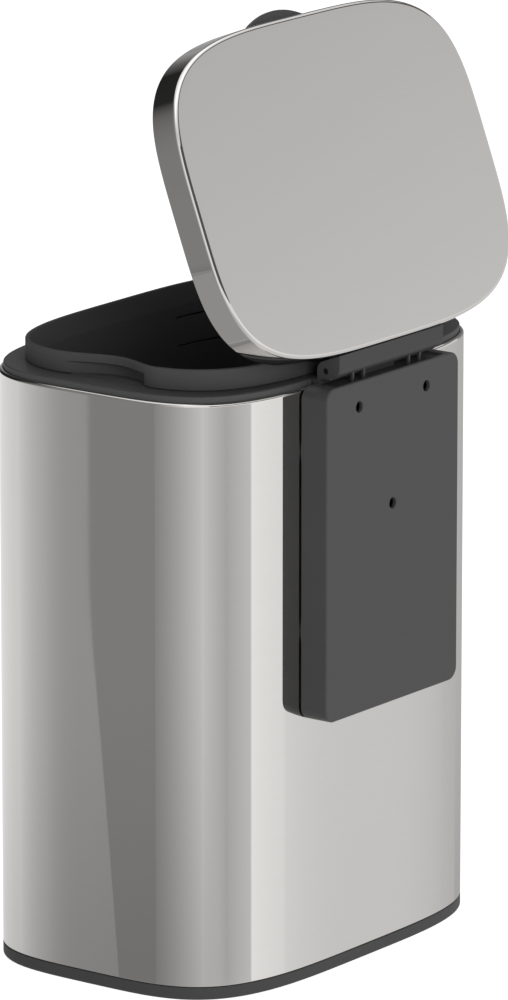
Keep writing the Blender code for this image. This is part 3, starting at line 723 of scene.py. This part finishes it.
@dataclass
class Bucket:
    """The lift-out bucket with a finger recess in each side of its rim."""

    bottom: float = 0.0135
    corner: float = 0.003
    under_inset: float = 0.004
    floor_inset: float = 0.006
    rim_bottom: float = 0.3035
    rim_chamfer: float = 0.0003
    rim_wall: float = 0.0020
    rim_round: float = 0.0008
    flange_gap: float = 0.0002
    wall: float = 0.0013
    step: float = 0.003
    inner_blend: tuple[Pair, ...] = (
        (0.0006, 0.004), (0.0011, 0.009), (0.0014, 0.015), (0.0016, 0.022),
    )
    taper: float = 0.008
    scoop_front: float = 0.0385
    scoop_rear: float = 0.0335
    scoop_skew: float = 1.285
    scoop_depth: float = 0.008
    hollow_depth: float = 0.004
    hollow_front: float = 0.027
    hollow_ramp: float = 0.022
    hollow_rear: float = 0.0245
    hollow_end: float = 0.0016
    lip_height: float = 0.0045
    lip_below: float = 0.0008
    lip_above: float = 0.0004
    lip_shares: tuple[float, ...] = (0.0, 0.15, 0.5, 0.85, 1.0)
    blend: float = 0.006
    slit_drops: Pair = (0.0058, 0.0203)
    slit_x: float = -0.0584
    slit_half: float = 0.0151
    slit_rise: float = 0.00045
    slit_reach: float = 0.036
    plastic: MouldedFinish = MouldedFinish("charcoal_bucket", (0.074, 0.074, 0.075), 0.70, 0.2)

    def scoop_share(self, y: np.ndarray) -> np.ndarray:
        """Return sin^2(pi t^k) along the recess, t from 0 in front to 1 behind."""
        travel = np.clip((y + self.scoop_front) / (self.scoop_front + self.scoop_rear), 0.0, 1.0)
        return np.sin(math.pi * travel**self.scoop_skew) ** 2

    def hollow_share(self, y: np.ndarray) -> np.ndarray:
        """Return the finger hollow's depth share: a soft ramp in front, a steep end behind."""
        rise = ease((y + self.hollow_front) / self.hollow_ramp)
        return rise * ease((self.hollow_rear - y) / self.hollow_end)

    def ring(
        self, inset: float, z: float, hollow: float = 0.0, drop: float = 0.0, dented: bool = True
    ) -> np.ndarray:
        """Return a ring of the rim, pushed in by the broad scoop of each finger recess.

        Args:
            inset: how far in the ring stands.
            z: its height.
            hollow: the depth of the finger hollow below the lip.
            drop: how far the ring sinks where the recess is deep.
            dented: whether it is pushed in, or only sinks.

        Returns:
            One row (x, y, z) per point.
        """
        y = RIM.spots()[0][:, 1]
        dent = self.scoop_depth * self.scoop_share(y) + hollow * self.hollow_share(y)
        return RIM.ring(inset + dent * dented, z - drop * ease(dent / self.blend))

    def inner_inset(self, z: float) -> float:
        """Return how far in the rim's inner face is: it leans in to the bucket's wall."""
        share = (RIM_TOP - z) / (RIM_TOP - self.rim_bottom)
        return self.rim_wall + (self.step + self.wall - self.rim_wall) * share

    def make(self) -> None:
        """Skin the bucket from its underside, over the rim and down to its floor."""
        foot = self.step + self.taper
        floor = self.bottom + self.wall
        thick = self.step + self.wall
        deep, ledge = self.hollow_depth, 2 * self.wall
        low, chamfer = self.rim_bottom, self.rim_chamfer
        lip = RIM_TOP - self.lip_height
        r, c = self.rim_round, self.corner
        outside = [(foot + c, self.bottom)]
        outside += quarter((foot + c, self.bottom + c), c, 270, 185, 5)
        outside += [(self.step, FLANGE_TOP - self.flange_gap)]
        rows = [RIM.ring(foot + self.under_inset, self.bottom, 0.5), *RIM.rings(outside)]
        rows += [self.ring(chamfer, low, deep), self.ring(0.0, low + chamfer, deep)]
        start, height = lip - self.lip_below, self.lip_below + self.lip_above
        for share in self.lip_shares:
            rows += [self.ring(0.0, start + height * share, deep * (1 - ease(share)))]
        crest = quarter((r, RIM_TOP - r), r, 180, 90, 4)
        crest += quarter((self.rim_wall - r, RIM_TOP - r), r, 90, 0, 4)
        rows += [self.ring(inset, z) for inset, z in crest]
        for z, drop in ((lip + self.wall, 0.0), (low, ledge)):
            rows += [self.ring(self.inner_inset(z), z, deep, drop)]
        rows += [self.ring(thick, low - GAP, deep, ledge, dented=False)]
        inside = [(thick + more, low - ledge - drop) for more, drop in self.inner_blend]
        inside += quarter((foot + self.wall + c, floor + c), c, 185, 270, 5)
        rows += [*RIM.rings(inside), RIM.ring(foot + self.floor_inset, floor, 0.5)]
        bucket = grid_mesh("bucket_body", rows)
        for drop in self.slit_drops:
            depths = (-BODY_REAR, -BODY_REAR + self.slit_reach)
            heights = (low - drop - self.slit_rise, low - drop + self.slit_rise)
            combine(bucket, box("slit", self.slit_half, depths, heights, self.slit_x))
        place(bucket, Body.BUCKET, "inner_bucket", self.plastic)


@dataclass
class Hinge:
    """The hinge housing over the hooks, with its pin, cartridges and screws."""

    end_wall: float = 0.0024
    back_radius: float = 0.0045
    back_y: float = 0.09655
    floor_z: float = 0.3038
    neck_rear: float = 0.08455
    keel_rear: float = 0.0911
    bridge_rear: float = 0.08825
    bridge_half: float = 0.0135
    bridge_overlap: float = 0.0004
    hood_z: float = 0.3052
    plate_bottom: float = 0.3006
    sweep: float = 0.0052
    bore: float = 0.00335
    trough_front: float = 0.070
    trough_top: float = 0.325
    pocket_half: float = 0.0055
    pocket_y: Pair = (0.09195, 0.09395)
    pocket_top: float = 0.3110
    screw_cover: float = 0.0005
    pin_reach: float = 0.05
    edge: float = 0.0003
    plastic: MouldedFinish = MouldedFinish("charcoal_housing", (0.054, 0.054, 0.055), 0.46, 0.2)
    wire: WireSteelFinish = WireSteelFinish("drawn_steel")
    dark_wire: WireSteelFinish = WireSteelFinish("blackened_steel", (0.045, 0.045, 0.047), 0.45)
    black: MouldedFinish = MouldedFinish("black_cartridge", (0.022, 0.022, 0.023), 0.5)

    def section(self) -> list[Pair]:
        """Draw a keel under the knuckle and a higher hood behind it.

        Returns:
            The section in (y, z).
        """
        tilt = math.radians(LID_OPEN_DEGREES)
        touch = (HINGE_Y - self.sweep * math.cos(tilt), HINGE_Z + self.sweep * math.sin(tilt))
        back_top = touch[1] + (self.back_y - touch[0]) / math.tan(tilt)
        centre = (self.back_y - self.back_radius, self.hood_z + self.back_radius)
        points = [
            (PLATE_FRONT, self.plate_bottom),
            (self.neck_rear, self.plate_bottom),
            (self.neck_rear, self.floor_z),
            (self.keel_rear, self.floor_z),
            (self.keel_rear, self.hood_z),
        ]
        points += quarter(centre, self.back_radius, -90, 0, 28)
        points += [(self.back_y, back_top)]
        points += quarter((HINGE_Y, HINGE_Z), self.sweep, 180 - LID_OPEN_DEGREES, 180, 20)
        points += [(HINGE_Y - self.sweep, FLANGE_TOP), (PLATE_FRONT, FLANGE_TOP)]
        return points

    def make_housing(self) -> None:
        """Cut the trough, the pockets and the bores out of the housing's section."""
        half = HOUSING_HALF_LENGTH
        housing = prism("hinge_barrel", self.section(), -half, half, Axis.X)
        ease_edges(housing, self.edge)
        heights = (self.plate_bottom, self.floor_z + self.bridge_overlap)
        bridge = box("bridge", self.bridge_half, (BODY_REAR, self.bridge_rear), heights)
        combine(housing, bridge, "UNION")
        trough = [(self.trough_front, HINGE_Z - self.bore)]
        trough += quarter((HINGE_Y, HINGE_Z), self.bore, -90, 0, 16)
        trough += [(HINGE_Y + self.bore, self.trough_top), (self.trough_front, self.trough_top)]
        inside = half - self.end_wall
        combine(housing, prism("trough", trough, -inside, inside, Axis.X))
        low, high = self.plate_bottom - OVERSHOOT, FLANGE_TOP - self.screw_cover
        heights = (BODY_HEIGHT, self.pocket_top)
        for side in (-1, 1):
            x = side * HOOK_SPACING / 2
            combine(housing, box("pocket", self.pocket_half, self.pocket_y, heights, x))
            combine(housing, screw_hole(side, low, high))
        combine(housing, hinge_rod("bore", PIN_HOLE_RADIUS, self.pin_reach))
        place(housing, Body.BIN, "hinge_housing", self.plastic)

    def dress_small_parts(self, nodes: dict[str, Piece]) -> None:
        """Give the pin, the cartridges and the screws their finishes.

        Args:
            nodes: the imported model's nodes by name.
        """
        sides = ("left", "right")
        groups = {
            self.dark_wire: ["hinge_pin"],
            self.wire: [f"housing_screw_{side}" for side in sides],
            self.black: [f"friction_cartridge_{side}" for side in sides],
        }
        for finish, names in groups.items():
            material = finish.material()
            for name in names:
                nodes[name].data.materials.clear()
                nodes[name].data.materials.append(material)
                LOG.info("%s: keeps its shape, takes %s", name, material.name)


@dataclass
class Lid:
    """The steel lid and the black moulding inside it, drawn shut and then opened."""

    top: float = 0.3207
    skirt_bottom: float = 0.3057
    inset: float = 0.0002
    edge_radius: float = 0.0020
    protrusion: float = 0.0006
    liner_wall: float = 0.0015
    liner_round: float = 0.0004
    chamfer: float = 0.0012
    inner_corner: Pair = (0.8, 0.4)
    knuckle_radius: float = 0.0030
    knuckle_half: float = 0.034
    pin_reach: float = 0.04
    leaf_rise: float = 0.0002
    leaf_thickness: float = 0.0022
    leaf_short: float = 0.0005
    leaf_clearance: float = 0.0006
    tab_radius: float = 0.054
    tab_reach: float = 0.0055
    tab_thickness: float = 0.0018
    tab_root: float = 0.002
    tab_round: float = 0.0006
    steel: SteelFinish = SteelFinish("polished_lid_steel")
    plastic: MouldedFinish = MouldedFinish("black_liner", (0.024, 0.024, 0.025), 0.32, 0.95)

    def leaf_bottom(self) -> float:
        """Return the height of the hinge leaf's underside."""
        return HINGE_Z - self.knuckle_radius + self.leaf_rise

    def make_skin(self) -> None:
        """Skin the steel from the panel's middle, over the edge, round the hem and back."""
        r, s, low = self.edge_radius, SHEET, self.skirt_bottom
        section = quarter((self.inset + r, self.top - r), r, 90, 180, 14)
        section += quarter((self.inset + s / 2, low + s / 2), s / 2, 180, 360, 8)
        section += quarter((self.inset + r, self.top - r), r - s, 180, 90, 8)
        rows = [BODY.ring(self.inset + r, self.top, share) for share in (0.4, 0.75, 0.94)]
        rows += BODY.rings(section)
        rows += [BODY.ring(self.inset + r, self.top - s, share) for share in (0.75, 0.4)]
        skin = grid_mesh("lid_panel", rows)
        half = self.knuckle_half + self.leaf_clearance
        top = self.leaf_bottom() + self.leaf_thickness + self.leaf_clearance
        depths = (BODY_REAR - OVERSHOOT, HINGE_Y)
        combine(skin, box("notch", half, depths, (low - OVERSHOOT, top)))
        place(skin, Body.LID, "lid_skin", self.steel)

    def make_liner(self) -> None:
        """Skin the liner and join the hinge leaf, the knuckle and the thumb tab to it."""
        inset = self.inset + SHEET + GAP
        top = self.top - SHEET - GAP
        low = self.skirt_bottom - self.protrusion
        c, w, e = self.chamfer, self.liner_wall, self.liner_round
        across, down = self.inner_corner
        section = [(inset + c, top), (inset, top - c)]
        section += quarter((inset + e, low + e), e, 180, 270, 4)
        section += quarter((inset + w - e, low + e), e, 270, 360, 4)
        section += [(inset + w, top - c - w * down), (inset + w + c * across, top - w)]
        rows = [BODY.ring(inset + c, top, share) for share in (0.5, 0.9)]
        rows += BODY.rings(section)
        rows += [BODY.ring(inset + w + c, top - w, share) for share in (0.9, 0.5)]
        liner = grid_mesh("lid_inner", rows)
        half, bottom = self.knuckle_half, self.leaf_bottom()
        depths = (BODY_REAR - inset - w / 2, HINGE_Y - self.leaf_short)
        leaf = box("leaf", half, depths, (bottom, bottom + self.leaf_thickness))
        combine(liner, leaf, "UNION")
        combine(liner, hinge_rod("knuckle", self.knuckle_radius, half), "UNION")
        combine(liner, hinge_rod("hole", PIN_HOLE_RADIUS, self.pin_reach))
        combine(liner, self.thumb_tab(inset), "UNION")
        place(liner, Body.LID, "lid_liner", self.plastic)

    def thumb_tab(self, inset: float) -> Piece:
        """Return the thumb tab: a segment of a disc with a round edge.

        Args:
            inset: how far in the liner's outer face stands.

        Returns:
            The tab, shut.
        """
        centre = self.tab_radius - BODY_REAR - self.tab_reach + self.inset
        root = inset + self.tab_root - BODY_REAR
        spread = math.degrees(math.acos((centre - root) / self.tab_radius))
        outline = quarter((0.0, centre), self.tab_radius, -90 - spread, -90 + spread, 60)
        top = self.skirt_bottom - GAP
        tab = prism("tab", outline, top - self.tab_thickness, top, Axis.Z)
        ease_edges(tab, self.tab_round)
        return tab


@dataclass
class Bracket:
    """The wall bracket: a tray that follows the body's bow, with two hooks on top."""

    width: float = 0.1104
    height: float = 0.1676
    corner: float = 0.0065
    corner_parts: int = 12
    side_parts: int = 24
    wall: float = 0.0025
    back: float = 0.002
    edge: float = 0.0008
    gap: float = 0.0008
    floor_round: float = 0.001
    pad_drops: Pair = (0.0308, 0.1207)
    pad_height: float = 0.0069
    pad_blend: float = 0.0004
    hole_radius: float = 0.00275
    hole_spacing: float = 0.0562
    hole_bevel: float = 0.0005
    hole_reach: float = 0.006
    upper_drop: float = 0.0129
    lower_drop: float = 0.0666
    notch_depth: float = 0.0013
    notch_half: float = 0.0450
    hook_width: float = 0.0105
    hook_rib: float = 0.0014
    hook_depth: float = 0.0015
    hook_web: float = 0.0008
    hook_rear: float = 0.0937
    hook_top: float = 0.3107
    hook_round: float = 0.0002
    window_top: float = 0.3062
    window_sill: float = 0.0001
    window_reach: float = 0.001
    plastic: MouldedFinish = MouldedFinish("charcoal_bracket", (0.060, 0.060, 0.061), 0.36, 0.25)

    def ring(self, inset: float, y: float | None, shrink: float = 1.0) -> np.ndarray:
        """Return one ring of the tray: a round-cornered rectangle in (x, z) at depth y.

        Args:
            inset: how far in the ring stands.
            y: its depth, or None to follow the body's bow.
            shrink: the share of its size.

        Returns:
            One row (x, y, z) per point.
        """
        half_w, half_h = self.width / 2 - inset, self.height / 2 - inset
        r = self.corner - inset
        arcs = []
        for across, up, start in ((1, -1, -90), (1, 1, 0), (-1, 1, 90), (-1, -1, 180)):
            middle = (across * (half_w - r), up * (half_h - r))
            arcs.append(np.array(quarter(middle, r, start, start + 90, self.corner_parts)))
        share = np.arange(1, self.side_parts)[:, None] / self.side_parts
        outline = []
        for arc, after in zip(arcs, arcs[1:] + arcs[:1]):
            outline += [arc, arc[-1] + (after[0] - arc[-1]) * share]
        flat = np.concatenate(outline) * shrink
        x, z = flat[:, 0], flat[:, 1] + BRACKET_TOP - self.height / 2
        depth = np.full(len(x), y) if y is not None else self.bow(x, z)
        return np.column_stack((x, depth, z))

    def bow(self, x: np.ndarray, z: np.ndarray) -> np.ndarray:
        """Return the front edge's depth: the body's rear outline plus a gap, less at the pads.

        Args:
            x: places across.
            z: heights.

        Returns:
            The y of each place.
        """
        near = np.zeros(len(z))
        for drop in self.pad_drops:
            away = np.abs(z - (BRACKET_TOP - drop)) - self.pad_height / 2
            near = np.maximum(near, ease(0.5 - away / self.pad_blend))
        return BODY.y_at(x, self.gap) - near * (self.gap - GAP)

    def make(self) -> None:
        """Skin the tray, cut its holes and notch, and join the hooks."""
        e, floor = self.edge, WALL_Y - self.back
        rows = [self.ring(e, WALL_Y, share) for share in (0.3, 0.7)]
        rows += [self.ring(inset, y) for inset, y in quarter((e, WALL_Y - e), e, 90, 180, 6)]
        rows += [self.ring(inset, None) for inset in (0.0, self.wall)]
        rows += [self.ring(self.wall, floor), self.ring(self.wall + self.floor_round, floor, 0.5)]
        tray = grid_mesh("bracket_tray", rows)
        depths = (BODY_REAR - OVERSHOOT, floor)
        heights = (BRACKET_TOP - self.notch_depth, BRACKET_TOP + OVERSHOOT)
        combine(tray, box("notch", self.notch_half, depths, heights))
        r, beside = self.hole_radius, self.hole_spacing / 2
        wide = r + self.hole_bevel
        profile = [(r, WALL_Y - self.hole_reach), (r, WALL_Y - 0.6 * self.hole_bevel)]
        profile += [(wide, WALL_Y + 0.4 * self.hole_bevel), (wide, WALL_Y + OVERSHOOT)]
        spots = ((-beside, self.upper_drop), (beside, self.upper_drop), (0.0, self.lower_drop))
        for x, drop in spots:
            combine(tray, turned("hole", profile, (x, 0.0, BRACKET_TOP - drop), Axis.Y, 64))
        for x in (-HOOK_SPACING / 2, HOOK_SPACING / 2):
            combine(tray, self.hook(x), "UNION")
        place(tray, Body.BRACKET, "wall_bracket", self.plastic)

    def hook(self, x: float) -> Piece:
        """Return one hook: a web with a rib along each edge.

        Args:
            x: its middle, across.

        Returns:
            The hook.
        """
        half, front = self.hook_width / 2, self.hook_rear - self.hook_depth
        rear, web, rib = self.hook_rear, front + self.hook_web, self.hook_rib
        outline = [
            (x - half, front), (x + half, front), (x + half, rear), (x + half - rib, rear),
            (x + half - rib, web), (x - half + rib, web), (x - half + rib, rear), (x - half, rear),
        ]
        foot = BRACKET_TOP - (self.notch_depth + self.wall) / 2
        hook = prism("hook", outline, foot, self.hook_top, Axis.Z)
        depths = (front - self.window_reach, rear + self.window_reach)
        heights = (BRACKET_TOP - self.notch_depth + self.window_sill, self.window_top)
        combine(hook, box("window", half - rib, depths, heights, x))
        ease_edges(hook, self.hook_round, 2)
        return hook


@dataclass(frozen=True)
class Panel:
    """One stretch of the studio's walls, as the steel reflects it."""

    start: float
    end: float
    level_start: float
    level_end: float


@dataclass(frozen=True)
class Side:
    """A stretch of azimuths with soft ends."""

    start: float
    end: float
    soft: float


class Sky(Graph):
    """The world's nodes, with each ray's azimuth and rise in degrees."""

    def __init__(self, world: bpy.types.World, seam: float) -> None:
        """Work out the ray's direction.

        Args:
            world: the world to light.
            seam: the azimuth that shares of a full turn are counted from.
        """
        super().__init__(world)
        self.seam = seam
        x, y, z = self.node("SeparateXYZ", {0: self.node("TexCoord").outputs["Generated"]}).outputs
        self.azimuth = self.math("DEGREES", self.math("ARCTAN2", y, x))
        self.rise = self.math("DEGREES", self.math("ARCSINE", z))
        turn = self.math("DIVIDE", self.math("SUBTRACT", self.azimuth, seam), 360.0)
        self.share = self.math("FRACT", self.math("ADD", turn, 1.0))

    def level(self, panels: tuple[Panel, ...]) -> Socket:
        """Return the level of the panel that the ray meets.

        Args:
            panels: the panels, in rising order from the seam.

        Returns:
            The level.
        """
        stops = []
        for panel in panels:
            stops.append(((panel.start - self.seam) / 360.0, panel.level_start))
            stops.append(((panel.end - self.seam) / 360.0 - PANEL_GAP, panel.level_end))
        return self.ramp(self.share, stops)

    def within(self, side: Side) -> Socket:
        """Return 1 for a ray inside a stretch of azimuths and 0 for another.

        Args:
            side: the stretch, counted from the seam.

        Returns:
            The share.
        """
        turned_up = self.math("MODULO", self.math("ADD", self.azimuth, 360.0 - self.seam), 360.0)
        rising = self.step(turned_up, side.start - self.seam, side.soft)
        falling = self.step(turned_up, side.end - self.seam, side.soft)
        return self.math("MULTIPLY", rising, self.rest(falling))


def direction(azimuth: float, elevation: float) -> Vector:
    """Return a direction of length one."""
    a, e = math.radians(azimuth), math.radians(elevation)
    return Vector((math.cos(a) * math.cos(e), math.sin(a) * math.cos(e), math.sin(e)))


def stand(data: bpy.types.ID, spot: Vector, look: Vector) -> Piece:
    """Put a camera or a lamp in the scene.

    Args:
        data: the camera or lamp, whose name it takes.
        spot: where it stands.
        look: the direction that it points in.

    Returns:
        The new object.
    """
    item = bpy.data.objects.new(data.name, data)
    item.location = spot
    item.rotation_mode = "QUATERNION"
    item.rotation_quaternion = look.to_track_quat("-Z", "Y")
    bpy.context.scene.collection.objects.link(item)
    return item


@dataclass
class Studio:
    """A white studio: soft lamps, a pale floor and plain cards that the steel mirrors.

    Azimuths count in degrees from +X towards +Y, and rises from the horizon up.
    """

    seam: float = -143.0
    ambient: tuple[Pair, ...] = (
        (-90.0, 0.38), (-10.0, 0.38), (18.0, 0.37), (42.0, 0.33), (60.0, 0.31), (90.0, 0.30),
    )
    floor_glow: float = 0.60
    floor_seen: float = 0.86
    softbox: float = 1.6
    softbox_brim: float = 0.82
    softbox_rise: Pair = (30.0, 56.0)
    softbox_slope: Triple = (-0.25, 69.0, 29.0)
    softbox_side: Side = Side(8.0, 202.0, 4.0)
    ceiling: float = 1.1
    ceiling_rise: Pair = (46.0, 54.0)
    frame: float = 0.11
    frame_slope: Pair = (0.07, 4.9)
    frame_side: Side = Side(55.0, 176.0, 1.0)
    edge_soft: Pair = (0.3, 0.6)
    horizon: Pair = (-12.8, -10.0)
    floor_line: Pair = (-17.9, -17.3)
    walls: tuple[Panel, ...] = (
        Panel(-143, -95, 0.93, 0.95), Panel(-95, -70, 0.95, 0.88),
        Panel(-70, -44.7, 0.90, 0.565), Panel(-44.7, -37.8, 0.565, 0.41),
        Panel(-37.8, -14.4, 0.41, 0.34), Panel(-14.2, 44, 0.34, 0.77),
        Panel(44, 75, 0.80, 0.58), Panel(75, 104.0, 0.55, 0.75),
        Panel(104.4, 128, 1.14, 1.02), Panel(128, 144, 0.96, 0.84),
        Panel(144, 162, 0.84, 0.71), Panel(162, 217, 0.70, 0.42),
    )
    ground: tuple[Panel, ...] = (
        Panel(-143, -70, 0.45, 0.44), Panel(-70, 10, 0.395, 0.40),
        Panel(10, 90, 0.52, 0.82), Panel(90, 217, 0.85, 0.78),
    )
    dark_card: float = 0.30
    card_edge: float = -37.80
    card_end: float = -14.0
    card_soft: Pair = (0.04, 0.8)
    card_start_rise: float = -14.4
    card_slant: float = 0.20
    card_power: float = 2.5
    foot_fade: float = 0.77
    foot_fade_rear: float = 0.97
    foot_rise: Pair = (-18.4, -14.8)
    rear_azimuth: Pair = (45.0, 72.0)
    high_walls: tuple[Panel, ...] = (
        Panel(-143, -140.2, 0.40, 0.40), Panel(-139.8, -135.5, 0.40, 0.30),
        Panel(-135, -125, 0.38, 0.15), Panel(-124.5, -113, 0.14, 0.030),
        Panel(-112.5, -70, 0.023, 0.027), Panel(-68, -57, 0.045, 0.17),
        Panel(-56, -41, 0.18, 0.28), Panel(-40, -14, 0.283, 0.30),
        Panel(-14, 20, 0.32, 0.90), Panel(20, 128, 1.05, 1.00),
        Panel(128, 142, 0.95, 0.80), Panel(142, 176, 0.79, 0.75),
        Panel(178, 217, 0.30, 0.15),
    )
    high_fade: tuple[Pair, ...] = (
        (0.0, 1.2), (6.0, 1.15), (11.5, 0.99), (14.2, 0.83), (90.0, 0.75),
    )
    high_fade_side: Side = Side(100.0, 217.0, 8.0)
    camera_azimuth: float = 36.74
    camera_elevation: float = 15.0
    camera_distance: float = 4.114
    camera_target: Triple = (0.0, 0.0028, 0.150)
    aim_right: float = 15.8 / 8228.0
    aim_up: float = 140.3 / 8228.0
    focal_share: float = 8.228
    sensor: float = 36.0
    floor_colour: Triple = (0.8, 0.8, 0.8)
    floor_grain: float = 40.0
    floor_depth: float = 0.0125
    floor_half: float = 6.0
    floor_drop: float = 0.0002
    lamp_azimuth: float = 55.0
    lamp_elevation: float = 20.0
    lamp_distance: float = 2.2
    lamp_size: float = 1.0
    lamp_power: float = 15.0
    lamp_target: Triple = (0.0, -WALL_Y, -0.05)

    def make_camera(self) -> None:
        """Stand the camera where the photograph was taken from, without any shift."""
        back = direction(self.camera_azimuth, self.camera_elevation)
        right = Vector((0.0, 0.0, 1.0)).cross(back).normalized()
        up = back.cross(right)
        aim = -back + right * self.aim_right + up * self.aim_up
        data = bpy.data.cameras.new("photo_camera")
        data.sensor_width = self.sensor
        data.lens = self.focal_share * data.sensor_width
        data.clip_start, data.clip_end = 0.1, 100.0
        target = Vector(self.camera_target) - Vector((0.0, WALL_Y, BRACKET_MIDDLE))
        bpy.context.scene.camera = stand(data, target + back * self.camera_distance, aim)

    def make_lamp(self) -> None:
        """Hang the soft square key lamp, which the steel doesn't mirror."""
        out = direction(self.lamp_azimuth, self.lamp_elevation)
        data = bpy.data.lights.new("key_lamp", "AREA")
        data.size = self.lamp_size
        data.energy = self.lamp_power
        lamp = stand(data, Vector(self.lamp_target) + out * self.lamp_distance, -out)
        lamp.visible_glossy = False
        lamp.visible_camera = False

    def make_floor(self) -> None:
        """Lay a pale floor that shows the can's soft shadow and nothing else."""
        half, z = self.floor_half, -BRACKET_MIDDLE - self.floor_drop
        corners = [(-half, -half, z), (half, -half, z), (half, half, z), (-half, half, z)]
        floor = solid("floor", np.array(corners), [[0, 1, 2, 3]])
        material = bpy.data.materials.new("pale_floor")
        graph = Graph(material)
        grain = graph.noise(self.floor_grain, 3.0)
        colour = graph.tint(grain, self.floor_colour, self.floor_depth)
        diffuse = graph.node("BsdfDiffuse", {"Color": colour})
        seen = graph.node("LightPath").outputs["Is Camera Ray"]
        level = graph.mix_level(seen, self.floor_glow, self.floor_seen)
        glow = graph.node("Emission", {"Strength": level})
        graph.finish(graph.node("AddShader", {0: diffuse.outputs[0], 1: glow.outputs[0]}))
        floor.data.materials.append(material)
        floor.visible_glossy = False

    def shade_walls(self, sky: Sky) -> Socket:
        """Stand a dark card before the walls and fade them towards the floor.

        The card's left edge slants: it is at e + s t^p, where t is how far the ray falls
        below the height at which the slant starts.

        Args:
            sky: the world's nodes.

        Returns:
            The walls' level.
        """
        fall = sky.math("MAXIMUM", sky.math("SUBTRACT", self.card_start_rise, sky.rise), 0.0)
        slant = sky.math("POWER", fall, self.card_power)
        past = sky.math("SUBTRACT", sky.azimuth, sky.math("MULTIPLY", slant, self.card_slant))
        inside = sky.step(past, self.card_edge, self.card_soft[0])
        beyond = sky.step(sky.azimuth, self.card_end, self.card_soft[1])
        card = sky.math("MULTIPLY", inside, sky.rest(beyond))
        level = sky.mix_level(card, sky.level(self.walls), self.dark_card)
        rear = sky.smooth(sky.azimuth, *self.rear_azimuth)
        faded = sky.mix_level(rear, self.foot_fade, self.foot_fade_rear)
        fade = sky.mix_level(sky.smooth(sky.rise, *self.foot_rise), faded, 1.0)
        return sky.math("MULTIPLY", level, fade)

    def fade_high_walls(self, sky: Sky) -> Socket:
        """Darken the walls above the horizon towards their top, on the camera's side.

        Args:
            sky: the world's nodes.

        Returns:
            The high walls' level.
        """
        high = sky.level(self.high_walls)
        stops = [(height / 90, level) for height, level in self.high_fade]
        fade = sky.ramp(sky.math("DIVIDE", sky.rise, 90.0), stops)
        faded = sky.math("MULTIPLY", high, fade)
        return sky.mix_level(sky.within(self.high_fade_side), high, faded)

    def hang_softbox(self, sky: Sky) -> Socket:
        """Hang the softbox and its dark frame before the high walls, under the ceiling.

        Args:
            sky: the world's nodes.

        Returns:
            The level above the horizon.
        """
        slope, start = self.frame_slope
        bottom = sky.math("MULTIPLY_ADD", sky.azimuth, slope, start)
        slope, start, limit = self.softbox_slope
        top = sky.math("MINIMUM", sky.math("MULTIPLY_ADD", sky.azimuth, slope, start), limit)
        over_bottom = sky.step(sky.math("SUBTRACT", sky.rise, bottom), 0.0, self.edge_soft[0])
        over_top = sky.step(sky.math("SUBTRACT", sky.rise, top), 0.0, self.edge_soft[1])
        framed = sky.math("MULTIPLY", over_bottom, sky.within(self.frame_side))
        level = sky.mix_level(framed, self.fade_high_walls(sky), self.frame)
        graded = sky.smooth(sky.rise, *self.softbox_rise)
        softbox = sky.mix_level(graded, self.softbox_brim, self.softbox)
        lamp = sky.within(self.softbox_side)
        level = sky.mix_level(sky.math("MULTIPLY", over_top, lamp), level, softbox)
        overhead = sky.smooth(sky.rise, *self.ceiling_rise)
        return sky.mix_level(sky.math("MULTIPLY", overhead, sky.rest(lamp)), level, self.ceiling)

    def make_world(self) -> None:
        """Light the studio from all round, and give the steel its cards to mirror.

        A mirrored ray's azimuth picks the wall's level; above the horizon the walls are
        darker towards the top, where a broad softbox starts.
        """
        world = bpy.data.worlds.new("studio")
        bpy.context.scene.world = world
        sky = Sky(world, self.seam)
        near_floor = sky.smooth(sky.rise, *self.floor_line)
        lower = sky.mix_level(near_floor, sky.level(self.ground), self.shade_walls(sky))
        above = sky.smooth(sky.rise, *self.horizon)
        mirrored = sky.mix_level(above, lower, self.hang_softbox(sky))
        stops = [((height + 90) / 180, level) for height, level in self.ambient]
        diffuse = sky.ramp(sky.math("MULTIPLY_ADD", sky.rise, 1 / 180, 0.5), stops)
        rays = sky.node("LightPath").outputs
        seen = sky.math("MAXIMUM", rays["Is Glossy Ray"], rays["Is Transmission Ray"])
        level = sky.mix_level(seen, diffuse, mirrored)
        level = sky.math("MAXIMUM", level, rays["Is Camera Ray"])
        white = (1.0, 1.0, 1.0, 1.0)
        sky.finish(sky.node("Background", {"Color": white, "Strength": level}), "World")

    def make(self) -> None:
        """Set up the whole studio."""
        self.make_camera()
        self.make_floor()
        self.make_world()
        self.make_lamp()
        bpy.context.scene.view_settings.view_transform = "Standard"


def main() -> None:
    """Build every sub-assembly in order, logging each piece's face count."""
    logging.basicConfig(level=logging.INFO, format="%(name)s: %(message)s")
    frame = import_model()
    Studio().make()
    body = SteelBody()
    body.make_shell()
    body.make_base()
    Collar().make()
    Bucket().make()
    hinge = Hinge()
    hinge.make_housing()
    hinge.dress_small_parts(frame["nodes"])
    lid = Lid()
    lid.make_skin()
    lid.make_liner()
    Bracket().make()


if __name__ == "__main__":
    main()
